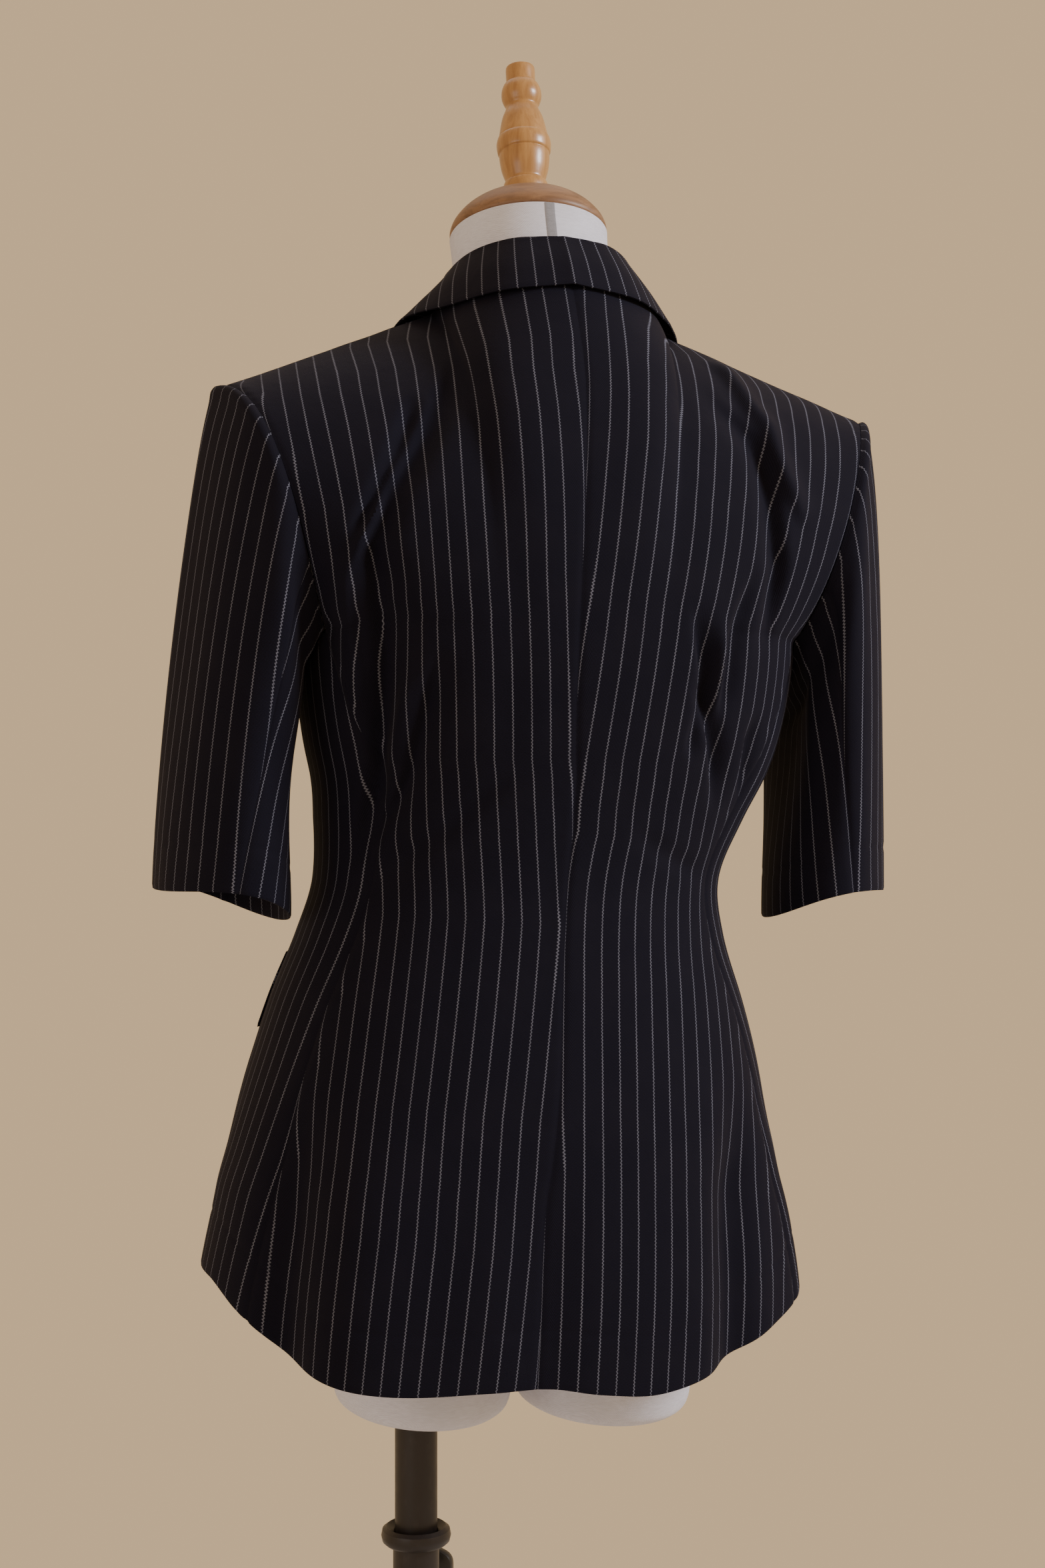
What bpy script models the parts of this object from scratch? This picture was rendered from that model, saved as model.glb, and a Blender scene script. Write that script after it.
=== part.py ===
"""A short-sleeved tailored suit jacket, worn by a limbless dress form on a stand.

Metres, +Z up, the floor at z = 0. The form faces -Y, its left side is +X, and the origin is the
middle of the round base plate's underside. Each piece of cloth is a closed wall of its own.
Angles round the body run from the centre back (0) over the wearer's left side (90) to the front.
"""
import math

import bmesh
import bpy
from mathutils import Matrix, Vector

# --- cloth ---------------------------------------------------------------------------------
WALL = 0.002
SEAM_GAP = 0.0003
LAYER = WALL + 0.0006

# The form and the jacket lean to the wearer's right, and the chest sways that way above the
# waist: the columns of the sway are the height and the shift across.
LEAN = math.radians(0.6)
LEAN_PIVOT = Vector((0.0, 0.0, 0.75))
SWAY = (
    (0.700, 0.0076),
    (0.850, 0.0068),
    (0.880, 0.0036),
    (0.930, -0.0002),
    (1.000, -0.0025),
    (1.050, -0.0074),
    (1.085, -0.0150),
    (1.120, -0.0225),
    (1.200, -0.0254),
    (1.360, -0.0276),
    (1.420, -0.0252),
    (1.500, -0.0235),
)

# Outer face of the jacket's body, level by level: the columns are the height, half the width, the
# depth behind and before the middle, the middle's own place front to back, and the squareness.
BODY_RINGS = (
    (0.735, 0.2015, 0.152, 0.136, 0.000, 2.30),
    (0.790, 0.1970, 0.149, 0.132, 0.000, 2.30),
    (0.837, 0.1885, 0.143, 0.127, 0.000, 2.30),
    (0.881, 0.1800, 0.135, 0.121, 0.000, 2.30),
    (0.925, 0.1702, 0.126, 0.115, 0.000, 2.25),
    (0.968, 0.1580, 0.116, 0.110, 0.000, 2.25),
    (1.012, 0.1430, 0.107, 0.107, 0.000, 2.20),
    (1.048, 0.1360, 0.102, 0.107, 0.000, 2.20),
    (1.090, 0.1450, 0.104, 0.115, 0.000, 2.20),
    (1.140, 0.1600, 0.111, 0.127, 0.000, 2.25),
    (1.190, 0.1670, 0.117, 0.131, 0.000, 2.30),
    (1.260, 0.1680, 0.119, 0.122, 0.000, 2.30),
)
# Height of the lower edge round the body; angles below zero are on the wearer's right.
HEM_LINE = (
    (-190.0, 0.782),
    (-150.0, 0.786),
    (-110.0, 0.791),
    (-75.0, 0.784),
    (-60.0, 0.768),
    (-50.0, 0.756),
    (-38.0, 0.745),
    (-25.0, 0.739),
    (-12.0, 0.742),
    (0.0, 0.747),
    (15.0, 0.747),
    (33.0, 0.746),
    (46.0, 0.751),
    (58.0, 0.764),
    (68.0, 0.785),
    (80.0, 0.800),
    (110.0, 0.796),
    (150.0, 0.788),
    (190.0, 0.782),
)

# Armhole: an oval loop, turned from its lowest point (0) over the back (90) to the top (180).
ARMHOLE_MIDDLE_Z = 1.274
ARMHOLE_HALF_HEIGHT = 0.0895
ARMHOLE_BACK = 0.075
ARMHOLE_FRONT = 0.070
PANEL_TURN = 40.0
CHEST_Z = ARMHOLE_MIDDLE_Z - ARMHOLE_HALF_HEIGHT * math.cos(math.radians(PANEL_TURN))

NAPE = Vector((0.0, 0.056, 1.4355))
NECK_SIDE = Vector((0.076, -0.022, 1.4250))
SHOULDER_TIP = Vector((0.2215, 0.0, 1.3635))
NECK_SHARE = 0.36

LAP = 0.020
BREAK_Z = 1.075
CORNER_RADIUS = 0.045

# Folds that the cloth hangs in, as soft troughs and ridges on the back: the angle and height of
# three points along each, its half width, and its depth (troughs below zero).
FOLDS = (
    (33.0, 1.366, 45.0, 1.330, 56.0, 1.283, 0.010, -0.0045),
    (56.0, 1.283, 59.0, 1.170, 64.0, 1.060, 0.013, -0.0080),
    (59.0, 1.270, 66.0, 1.210, 69.0, 1.160, 0.012, 0.0030),
    (44.0, 1.176, 52.0, 1.133, 62.0, 1.075, 0.011, -0.0040),
    (-38.0, 1.380, -45.0, 1.330, -52.0, 1.270, 0.011, -0.0050),
    (-52.0, 1.270, -58.0, 1.235, -62.0, 1.190, 0.011, -0.0040),
    (-46.0, 1.250, -45.0, 1.180, -43.0, 1.110, 0.011, -0.0040),
    (-33.0, 1.205, -38.0, 1.150, -54.0, 1.080, 0.010, -0.0040),
    (63.0, 0.930, 61.0, 0.850, 57.5, 0.750, 0.018, -0.0090),
    (41.0, 0.910, 42.0, 0.830, 42.0, 0.750, 0.028, 0.0060),
    (-55.0, 0.930, -51.0, 0.850, -46.0, 0.750, 0.018, -0.0075),
    (-70.0, 0.900, -69.0, 0.840, -68.0, 0.780, 0.022, 0.0055),
    (0.0, 0.880, 1.0, 0.810, 2.0, 0.750, 0.022, -0.0040),
)
FOLD_ARC = 0.0026

CLOTH_COLOUR = (0.011, 0.010, 0.016, 1.0)
FORM_COLOUR = (0.78, 0.76, 0.71, 1.0)
TURNED_WOOD_COLOUR = (0.55, 0.27, 0.09, 1.0)
CAP_WOOD_COLOUR = (0.42, 0.16, 0.06, 1.0)
STEEL_COLOUR = (0.060, 0.042, 0.034, 1.0)
BLACK_COLOUR = (0.015, 0.015, 0.015, 1.0)


# --- small helpers ---------------------------------------------------------------------------
def clear_scene():
    for item in list(bpy.data.objects):
        bpy.data.objects.remove(item, do_unlink=True)


def material(name, colour, roughness, metallic=0.0):
    made = bpy.data.materials.new(name)
    made.use_nodes = True
    shader = made.node_tree.nodes["Principled BSDF"]
    shader.inputs["Base Color"].default_value = colour
    shader.inputs["Roughness"].default_value = roughness
    shader.inputs["Metallic"].default_value = metallic
    return made


def mix(first, second, share):
    return first + (second - first) * share


def hermite(start, end, start_slope, end_slope, share):
    square = share * share
    cube = square * share
    return (
        start * (2 * cube - 3 * square + 1)
        + start_slope * (cube - 2 * square + share)
        + end * (3 * square - 2 * cube)
        + end_slope * (cube - square)
    )


def read_table(rows, key):
    """The columns of a table at one value of its first column, on a smooth curve."""
    key = min(max(key, rows[0][0]), rows[-1][0])
    low = 0
    while low < len(rows) - 2 and rows[low + 1][0] < key:
        low += 1
    span = rows[low + 1][0] - rows[low][0]
    share = (key - rows[low][0]) / span

    def slope(index, column):
        before = rows[max(index - 1, 0)]
        after = rows[min(index + 1, len(rows) - 1)]
        return (after[column] - before[column]) / (after[0] - before[0]) * span

    return [
        hermite(rows[low][c], rows[low + 1][c], slope(low, c), slope(low + 1, c), share)
        for c in range(1, len(rows[0]))
    ]


def smooth_step(value):
    value = min(max(value, 0.0), 1.0)
    return value * value * (3 - 2 * value)


def sway(point):
    return point + Vector((read_table(SWAY, point.z)[0], 0.0, 0.0))


def lean(point):
    turn = Matrix.Rotation(-LEAN, 3, "Y")
    return turn @ (point - LEAN_PIVOT) + LEAN_PIVOT


def mesh_object(name, points, faces, finish):
    """A new object from points and faces, with its faces turned outwards."""
    mesh = bpy.data.meshes.new(name)
    mesh.from_pydata([tuple(point) for point in points], [], faces)
    shape = bmesh.new()
    shape.from_mesh(mesh)
    bmesh.ops.recalc_face_normals(shape, faces=shape.faces)
    shape.to_mesh(mesh)
    shape.free()
    mesh.materials.append(finish)
    made = bpy.data.objects.new(name, mesh)
    bpy.context.scene.collection.objects.link(made)
    mesh.shade_smooth()
    mesh.set_sharp_from_angle(angle=math.radians(40))
    return made


def wall_between(name, outer, inner, finish, swaying=True):
    """One closed wall from two grids of points: its outer face and its inner face."""
    rows = len(outer)
    columns = len(outer[0])
    points = [point for row in outer for point in row]
    points += [point for row in inner for point in row]
    if swaying:
        points = [sway(point) for point in points]
    points = [lean(point) for point in points]
    back = rows * columns

    def corner(row, column):
        return row * columns + column

    faces = []
    for row in range(rows - 1):
        for column in range(columns - 1):
            quad = (corner(row, column), corner(row, column + 1),
                    corner(row + 1, column + 1), corner(row + 1, column))
            faces.append(quad)
            faces.append(tuple(back + index for index in reversed(quad)))
    rim = [corner(0, column) for column in range(columns)]
    rim += [corner(row, columns - 1) for row in range(1, rows)]
    rim += [corner(rows - 1, column) for column in range(columns - 2, -1, -1)]
    rim += [corner(row, 0) for row in range(rows - 2, 0, -1)]
    for index, start in enumerate(rim):
        end = rim[(index + 1) % len(rim)]
        faces.append((end, start, back + start, back + end))
    return mesh_object(name, points, faces, finish)


def spread(count, low=0.0, high=1.0):
    return [mix(low, high, index / (count - 1)) for index in range(count)]


# --- the body's surface ------------------------------------------------------------------------
def ring_point(angle, z):
    half_width, back, front, centre_y, squareness = read_table(BODY_RINGS, z)
    turn = math.radians(angle)
    depth = back if math.cos(turn) > 0 else front
    reach = (abs(math.sin(turn)) / half_width) ** squareness
    reach += (abs(math.cos(turn)) / depth) ** squareness
    radius = reach ** (-1 / squareness)
    return Vector((radius * math.sin(turn), centre_y + radius * math.cos(turn), z))


def ring_side_x(y, z):
    """How far out the body's surface lies at one place front to back."""
    half_width, back, front, centre_y, squareness = read_table(BODY_RINGS, z)
    depth = back if y > centre_y else front
    return half_width * (1 - (abs(y - centre_y) / depth) ** squareness) ** (1 / squareness)


def front_angle(x, z):
    """The angle of the front surface at one place across; past the middle it is over 180."""
    half_width, _, front, _, squareness = read_table(BODY_RINGS, z)
    depth = front * (1 - (abs(x) / half_width) ** squareness) ** (1 / squareness)
    return 180.0 - math.degrees(math.atan2(x, depth))


def armhole_point(turn):
    """A point of the left armhole's edge; turns below zero run over the front."""
    angle = math.radians(turn)
    depth = ARMHOLE_BACK if turn > 0 else ARMHOLE_FRONT
    y = depth * math.sin(angle)
    z = ARMHOLE_MIDDLE_Z - ARMHOLE_HALF_HEIGHT * math.cos(angle)
    if abs(turn) <= PANEL_TURN:
        return Vector((ring_side_x(y, z), y, z))
    seam_y = depth * math.sin(math.copysign(math.radians(PANEL_TURN), turn))
    rise = (abs(turn) - PANEL_TURN) / (180.0 - PANEL_TURN)
    return Vector((mix(ring_side_x(seam_y, CHEST_Z), SHOULDER_TIP.x, rise), y, z))


def armhole_angle(turn):
    point = armhole_point(turn)
    return math.degrees(math.atan2(point.x, point.y))


# Angle of the centre back seam, which wanders off the middle as the jacket hangs.
CENTRE_SEAM = (
    (0.735, 3.5),
    (0.850, 1.0),
    (0.950, -2.1),
    (1.000, -3.5),
    (1.040, -3.7),
    (1.070, -2.0),
    (1.100, 1.3),
    (1.130, 4.0),
    (1.160, 5.0),
    (CHEST_Z, 5.2),
)
# Angle of the two seams of a side panel, from the hem up to the armhole.
BACK_SEAM = (
    (0.735, 66.0),
    (0.850, 65.0),
    (0.950, 64.0),
    (1.040, 60.0),
    (1.120, 62.0),
    (CHEST_Z, armhole_angle(PANEL_TURN)),
)
FRONT_SEAM = (
    (0.735, 112.0),
    (0.950, 114.0),
    (1.040, 116.0),
    (CHEST_Z, armhole_angle(-PANEL_TURN)),
)


def centre_seam(z):
    return read_table(CENTRE_SEAM, z)[0]


def back_seam(z):
    return read_table(BACK_SEAM, z)[0]


def front_seam(z):
    return read_table(FRONT_SEAM, z)[0]


def front_edge_x(z):
    """The front edge past the centre, and above the break the roll line up to the neck."""
    climb = (z - BREAK_Z) / (NECK_SIDE.z - BREAK_Z)
    return mix(-LAP, NECK_SIDE.x, max(climb, 0.0))


def top_of_back(share):
    """The back's upper edge: the neck seam, and past NECK_SHARE the shoulder seam."""
    side = math.copysign(1.0, share)
    share = abs(share)
    if share <= NECK_SHARE:
        turn = math.radians(90 * share / NECK_SHARE)
        point = Vector((
            NECK_SIDE.x * math.sin(turn),
            mix(NECK_SIDE.y, NAPE.y, math.cos(turn)),
            mix(NECK_SIDE.z, NAPE.z, math.cos(turn)),
        ))
    else:
        point = mix(NECK_SIDE, SHOULDER_TIP, (share - NECK_SHARE) / (1 - NECK_SHARE))
    return Vector((side * point.x, point.y, point.z))


def upper_point(start, start_slope, top, tilt, rise):
    """A curve from the chest over the shoulder blade or the breast up to the top edge."""
    reach = (top - start).length * 1.15
    forward = -math.copysign(1.0, start.y)
    end_slope = Vector((0.0, forward * math.sin(tilt), math.cos(tilt))) * reach
    return hermite(start, top, start_slope.normalized() * reach, end_slope, rise)


def chest_slope(angle):
    return ring_point(angle, CHEST_Z) - ring_point(angle, CHEST_Z - 0.01)


def back_upper(share, rise, mirror):
    first = mirror * centre_seam(CHEST_Z)
    last = armhole_angle(PANEL_TURN)

    def column(place):
        angle = mix(first, last, place)
        tilt = math.radians(mix(28.0, 66.0, smooth_step(abs(place) / NECK_SHARE)))
        return upper_point(
            ring_point(angle, CHEST_Z), chest_slope(angle), top_of_back(place), tilt, rise)

    edge = armhole_point(mix(PANEL_TURN, 180.0, min(rise, 1.0))) - column(1.0)
    return column(share) + edge * max(share, 0.0) ** 3


def front_upper(share, rise):
    first = front_angle(front_edge_x(CHEST_Z), CHEST_Z)
    last = armhole_angle(-PANEL_TURN)

    def column(place):
        angle = mix(first, last, place)
        tilt = math.radians(mix(48.0, 62.0, smooth_step(place)))
        top = mix(NECK_SIDE, SHOULDER_TIP, place)
        return upper_point(ring_point(angle, CHEST_Z), chest_slope(angle), top, tilt, rise)

    edge = armhole_point(-mix(PANEL_TURN, 180.0, min(rise, 1.0))) - column(1.0)
    return column(share) + edge * max(share, 0.0) ** 3


def hem_height(angle):
    return read_table(HEM_LINE, angle)[0]


def fold_height(angle, z):
    """How far the folds push the cloth out at one place."""
    total = 0.0
    for a0, z0, a1, z1, a2, z2, half_width, depth in FOLDS:
        share = min(max((z - z0) / (z2 - z0), 0.0), 1.0)
        middle = (1 - share) ** 2 * a0 + 2 * share * (1 - share) * a1 + share ** 2 * a2
        across = (angle - middle) * FOLD_ARC / half_width
        beyond = max(z2 - z, z - z0, 0.0) / (1.6 * half_width)
        fade = smooth_step(min(share, 1 - share) * 4 + 0.15) if z2 > 0.80 else smooth_step(share * 2)
        total += depth * fade * math.exp(-across * across) * math.exp(-beyond * beyond)
    return total


# --- panels: each surface takes a share across and a height, and gives a point and an angle ----
# Level 0 is the hem, 1 the chest and 2 the top edge. Points are in the left side's frame; mirror
# is -1 for the wearer's right, where the hem and the centre seam run differently.
HEM_BACK_ANGLE = BACK_SEAM[0][1]
HEM_FRONT_ANGLE = FRONT_SEAM[0][1]
HEM_EDGE_ANGLE = 188.0


def back_surface(share, level, mirror):
    if level > 1.0:
        angle = mix(mirror * centre_seam(CHEST_Z), armhole_angle(PANEL_TURN), share)
        return back_upper(share, level - 1.0, mirror), angle
    low = mix(mirror * CENTRE_SEAM[0][1], HEM_BACK_ANGLE, share)
    z = mix(hem_height(mirror * low), CHEST_Z, level)
    angle = mix(mirror * centre_seam(z), back_seam(z), share)
    return ring_point(angle, z), angle


def side_surface(share, level, mirror):
    low = mix(HEM_BACK_ANGLE, HEM_FRONT_ANGLE, share)
    turn = mix(PANEL_TURN, -PANEL_TURN, share)
    top = ARMHOLE_MIDDLE_Z - ARMHOLE_HALF_HEIGHT * math.cos(math.radians(turn))
    z = mix(hem_height(mirror * low), top, level)
    widening = armhole_angle(turn) - mix(back_seam(top), front_seam(top), share)
    angle = mix(back_seam(z), front_seam(z), share)
    angle += widening * smooth_step((level - 0.7) / 0.3)
    return ring_point(angle, z), angle


def front_surface(share, level, mirror):
    """Here level 2 is the shoulder seam and share 0 the front edge with its rounded corner."""
    if level > 1.0:
        angle = mix(front_angle(front_edge_x(CHEST_Z), CHEST_Z), armhole_angle(-PANEL_TURN), share)
        return front_upper(share, level - 1.0), angle
    rounding = 0.0
    distance = share * 0.19
    if distance < CORNER_RADIUS:
        short = CORNER_RADIUS - max(distance, 0.0)
        rounding = CORNER_RADIUS - math.sqrt(max(CORNER_RADIUS ** 2 - short ** 2, 0.0))
    low = mix(HEM_EDGE_ANGLE, HEM_FRONT_ANGLE, share)
    z = mix(hem_height(mirror * low) + rounding, CHEST_Z, level)
    angle = mix(front_angle(front_edge_x(z), z), front_seam(z), share)
    return ring_point(angle, z), angle


def outward(surface, share, level, mirror):
    """The outward direction of a surface, from points just beside it."""
    step = 0.004
    high = min(level + step, 2.0)
    across = surface(share + step, level, mirror)[0] - surface(share - step, level, mirror)[0]
    along = surface(share, high, mirror)[0] - surface(share, level - step, mirror)[0]
    normal = across.cross(along).normalized()
    point = surface(share, level, mirror)[0]
    inside = Vector((0.5 * point.x, 0.0, point.z - 0.08))
    if normal.dot(point - inside) < 0:
        normal.negate()
    return normal


def inset(surface, level, mirror, gap):
    """The share that one seam's half gap takes at each edge of a row."""
    step = 0.01
    first = surface(step, level, mirror)[0] - surface(0.0, level, mirror)[0]
    last = surface(1.0, level, mirror)[0] - surface(1.0 - step, level, mirror)[0]
    return gap * step / first.length, 1.0 - gap * step / last.length


SHOULDER_UP = Vector((0.37, 0.0, 0.93)).normalized()


def panel_grids(surface, shares, levels, mirror, lift=None):
    """The outer and inner points of a panel, mirrored to the wearer's right if asked."""
    outer = []
    inner = []
    for level in levels:
        first, last = inset(surface, level, mirror, 0.5 * SEAM_GAP)
        outer_row = []
        inner_row = []
        for place in shares:
            share = mix(first, last, place)
            point, angle = surface(share, level, mirror)
            normal = outward(surface, share, level, mirror)
            if level > 1.0:
                normal.x = max(normal.x, share ** 6 - 1.0)
                normal.normalize()
            if level > 1.9 and (surface is front_surface or share >= NECK_SHARE - 0.01):
                normal = normal.lerp(SHOULDER_UP, smooth_step((level - 1.9) / 0.09)).normalized()
            height = fold_height(mirror * angle, point.z)
            if lift:
                height += lift(point)
            outer_row.append(flip(point + normal * height, mirror))
            inner_row.append(flip(point + normal * (height - WALL), mirror))
        outer.append(outer_row)
        inner.append(inner_row)
    return outer, inner


def flip(point, mirror):
    return Vector((mirror * point.x, point.y, point.z))


def make_body_panels(cloth):
    back_shares = spread(6, 0.0, NECK_SHARE)[:-1] + spread(9, NECK_SHARE, 1.0)
    front_shares = [0.0, 0.012, 0.045, 0.10, 0.17, 0.26, 0.38, 0.50, 0.62, 0.75, 0.88, 1.0]
    lower = spread(20)
    shoulder_gap = 0.5 * SEAM_GAP / 0.25
    upper = spread(11, 1.0, 2.0 - shoulder_gap)[1:]
    for side, mirror in (("left", 1), ("right", -1)):
        outer, inner = panel_grids(back_surface, back_shares, lower + upper, mirror)
        wall_between("back_" + side, outer, inner, cloth)
        outer, inner = panel_grids(side_surface, spread(6), lower, mirror)
        wall_between("side_" + side, outer, inner, cloth)
        outer, inner = panel_grids(front_surface, front_shares, lower + upper, mirror,
                                   lift=under_lap if mirror == 1 else None)
        wall_between("front_" + side, outer, inner, cloth)


def under_lap(point):
    """How far the left front sinks to pass behind the right one, and its lapel with it."""
    edge = -front_edge_x(point.z)
    layers = 1 + 1.4 * smooth_step((point.z - BREAK_Z + 0.015) / 0.02)
    return -LAYER * layers * (1 - smooth_step((point.x - edge - 0.006) / 0.035))


# --- lapels, collar, flaps, buttons -----------------------------------------------------------
# A lapel's outer edge: how far up the roll line, how far across the front, and how far it droops.
LAPEL_EDGE = (
    (0.00, 0.020, 0.00),
    (0.30, 0.210, 0.01),
    (0.60, 0.360, 0.03),
    (0.85, 0.470, 0.06),
    (1.00, 0.500, 0.10),
)
LAPEL_TOP = 1.80
LAPEL_ROLL = 0.0030
BREAK_LEVEL = (BREAK_Z - 0.778) / (CHEST_Z - 0.778)


def lapel_surface(share, climb, mirror):
    reach, droop = read_table(LAPEL_EDGE, climb)
    level = mix(BREAK_LEVEL + 0.02, LAPEL_TOP, climb) - droop * share
    place = 0.004 + reach * share
    point, angle = front_surface(place, level, mirror)
    return point, outward(front_surface, place, level, mirror), angle


def make_lapels(cloth):
    for side, mirror in (("left", 1), ("right", -1)):
        outer = []
        inner = []
        for climb in spread(15):
            outer_row = []
            inner_row = []
            for share in spread(6):
                point, normal, angle = lapel_surface(share, climb, mirror)
                roll = LAPEL_ROLL * (1 - share) ** 2 * smooth_step((climb - 0.35) * 3)
                height = LAYER + 0.0008 + roll + fold_height(mirror * angle, point.z)
                if mirror == 1:
                    height += under_lap(point)
                outer_row.append(flip(point + normal * height, mirror))
                inner_row.append(flip(point + normal * (height - WALL), mirror))
            outer.append(outer_row)
            inner.append(inner_row)
        wall_between("lapel_" + side, outer, inner, cloth)


# The collar from the centre back (0) to its front end (1). Each row gives the crest's place
# across, front to back and up, and then the same three of the fall's lower edge.
COLLAR_RUN = (
    (0.00, 0.0000, 0.0370, 1.4668, 0.0000, 0.0640, 1.4318),
    (0.22, 0.0315, 0.0270, 1.4655, 0.0458, 0.0534, 1.4268),
    (0.42, 0.0540, 0.0010, 1.4600, 0.0758, 0.0225, 1.4212),
    (0.60, 0.0640, -0.0270, 1.4490, 0.0920, -0.0085, 1.4210),
    (0.75, 0.0665, -0.0390, 1.4340, 0.1000, -0.0250, 1.4165),
    (0.88, 0.0665, -0.0475, 1.4190, 0.1055, -0.0375, 1.4020),
    (1.00, 0.0655, -0.0550, 1.4050, 0.1095, -0.0475, 1.3895),
)
COLLAR_TURN = 0.60
COLLAR_FRONT_LEVEL = 1.86
COLLAR_LIFT = 0.0016


def collar_seam(run):
    """The neck seam, moved just inside the neck and above it."""
    if run <= COLLAR_TURN:
        seam = back_surface(NECK_SHARE * run / COLLAR_TURN, 1.999, 1)[0]
    else:
        along = (run - COLLAR_TURN) / (1 - COLLAR_TURN)
        seam = front_surface(0.0, mix(1.999, COLLAR_FRONT_LEVEL, along), 1)[0]
    inward = Vector((-seam.x, -seam.y - 0.02, 0.0)).normalized()
    return seam + inward * 0.0030 + Vector((0.0, 0.0, COLLAR_LIFT))


def collar_section(run):
    row = read_table(COLLAR_RUN, run)
    crest = Vector(row[:3])
    edge = Vector(row[3:])
    base = collar_seam(run)
    out = edge - base
    out.z = 0.0
    out.normalize()
    turn = 0.0027
    up = Vector((0.0, 0.0, 1.0))
    over = crest + out * (2.0 * turn) - up * turn
    middle = mix(over, edge, 0.5) + out * 0.001 + up * 0.001
    return [
        base,
        mix(base, crest, 0.55) - out * 0.001,
        crest - up * turn * 0.6,
        crest + out * turn + up * turn * 0.3,
        over,
        middle,
        edge,
    ]


def make_collar(cloth):
    runs = spread(13, -1.0, 0.0)[:-1] + spread(13)
    outer = []
    for run in runs:
        mirror = -1 if run < 0 else 1
        outer.append([flip(point, mirror) for point in collar_section(abs(run))])
    inner = []
    for row, line in zip(outer, grid_normals(outer)):
        inner.append([point + normal * WALL for point, normal in zip(row, line)])
    wall_between("collar", outer, inner, cloth)


# --- sleeves -----------------------------------------------------------------------------------
SLEEVE_HEM = Vector((0.2080, 0.000, 1.034))
SLEEVE_HALF_WIDTH = 0.041
SLEEVE_HALF_DEPTH = 0.065
SLEEVE_TWIST = math.radians(-13)
SLEEVE_SWAY = -0.018
SLEEVE_START = 0.0013
SLEEVE_HEM_TILT = 0.010
SEAM_TURN = PANEL_TURN + 28.0
# Columns of the sleeve at the armhole, on the same points as the edges of the body's panels.
UNDER_TURNS = (-68.0, -54.0, -40.0, -24.0, -8.0, 8.0, 24.0, 40.0, 54.0, 68.0)
TOP_TURNS = tuple(SEAM_TURN + 14.0 * step for step in range(17))
# The turn of the sleeve's two seams, by how far down the sleeve.
SLEEVE_BACK_SEAM = ((0.0, SEAM_TURN), (0.5, 90.0), (1.0, 106.0))
SLEEVE_FRONT_SEAM = ((0.0, -SEAM_TURN), (0.5, -60.0), (1.0, -56.0))


def sleeve_surface(turn, drop, armhole_turn, mirror):
    """A point of a sleeve in the left side's frame: drop 0 is the armhole and 1 the hem."""
    start = armhole_point((armhole_turn + 180.0) % 360.0 - 180.0)
    start.x += SLEEVE_START + mirror * read_table(SWAY, start.z)[0]
    angle = math.radians(turn)
    across = -SLEEVE_HALF_WIDTH * math.cos(angle)
    deep = SLEEVE_HALF_DEPTH * math.sin(angle)
    end = SLEEVE_HEM + Vector((
        across * math.cos(SLEEVE_TWIST) + deep * math.sin(SLEEVE_TWIST) + mirror * SLEEVE_SWAY,
        deep * math.cos(SLEEVE_TWIST) - across * math.sin(SLEEVE_TWIST),
        -0.004 * math.cos(2 * angle) - SLEEVE_HEM_TILT * math.cos(angle),
    ))
    rise = 0.5 - 0.5 * math.cos(math.radians(armhole_turn))
    side = math.sin(math.radians(armhole_turn))
    leave = Vector((0.052 - 0.014 * rise, 0.030 * side, -0.085 + 0.110 * rise))
    arrive = Vector((0.004, 0.0, (end.z - start.z) * 0.9))
    return hermite(start, end, leave, arrive, drop)


def seam_turns(drop, whole):
    """The columns of a ring of the whole tube: the turn at the armhole and the turn there."""
    back = read_table(SLEEVE_BACK_SEAM, drop)[0]
    front = read_table(SLEEVE_FRONT_SEAM, drop)[0]
    ring = []
    for turn in whole:
        if turn <= SEAM_TURN:
            place = mix(front, back, (turn + SEAM_TURN) / (2 * SEAM_TURN))
        else:
            place = mix(back, front + 360.0, (turn - SEAM_TURN) / (360.0 - 2 * SEAM_TURN))
        ring.append((turn, place))
    return ring


def grid_normals(rows, closed=False):
    """Unit normals of a grid of points, from each point's neighbours."""
    normals = []
    for index, row in enumerate(rows):
        before = rows[max(index - 1, 0)]
        after = rows[min(index + 1, len(rows) - 1)]
        count = len(row)
        line = []
        for column in range(count):
            along = after[column] - before[column]
            if closed:
                across = row[(column + 1) % count] - row[column - 1]
            else:
                across = row[min(column + 1, count - 1)] - row[max(column - 1, 0)]
            line.append(across.cross(along).normalized())
        normals.append(line)
    return normals


def make_sleeves(cloth):
    whole = UNDER_TURNS + TOP_TURNS[1:-1]
    under = list(range(len(UNDER_TURNS)))
    top = list(range(len(UNDER_TURNS) - 1, len(whole))) + [0]
    for side, mirror in (("left", 1), ("right", -1)):
        rows = [
            [sleeve_surface(place, drop, turn, mirror) for turn, place in seam_turns(drop, whole)]
            for drop in spread(11)
        ]
        normals = grid_normals(rows, closed=True)
        for prefix, columns in (("sleeve_top_", top), ("sleeve_under_", under)):
            outer = []
            inner = []
            for row, line in zip(rows, normals):
                points = narrowed([row[column] for column in columns])
                outer.append([flip(point, mirror) for point in points])
                points = [row[column] - line[column] * WALL for column in columns]
                inner.append([flip(point, mirror) for point in narrowed(points)])
            wall_between(prefix + side, outer, inner, cloth, swaying=False)


def narrowed(row):
    """A row with its two end points drawn in along it by half a seam's gap."""
    gap = 0.75 * SEAM_GAP
    first = row[0] + (row[1] - row[0]).normalized() * gap
    last = row[-1] + (row[-2] - row[-1]).normalized() * gap
    return [first] + row[1:-1] + [last]


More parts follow.
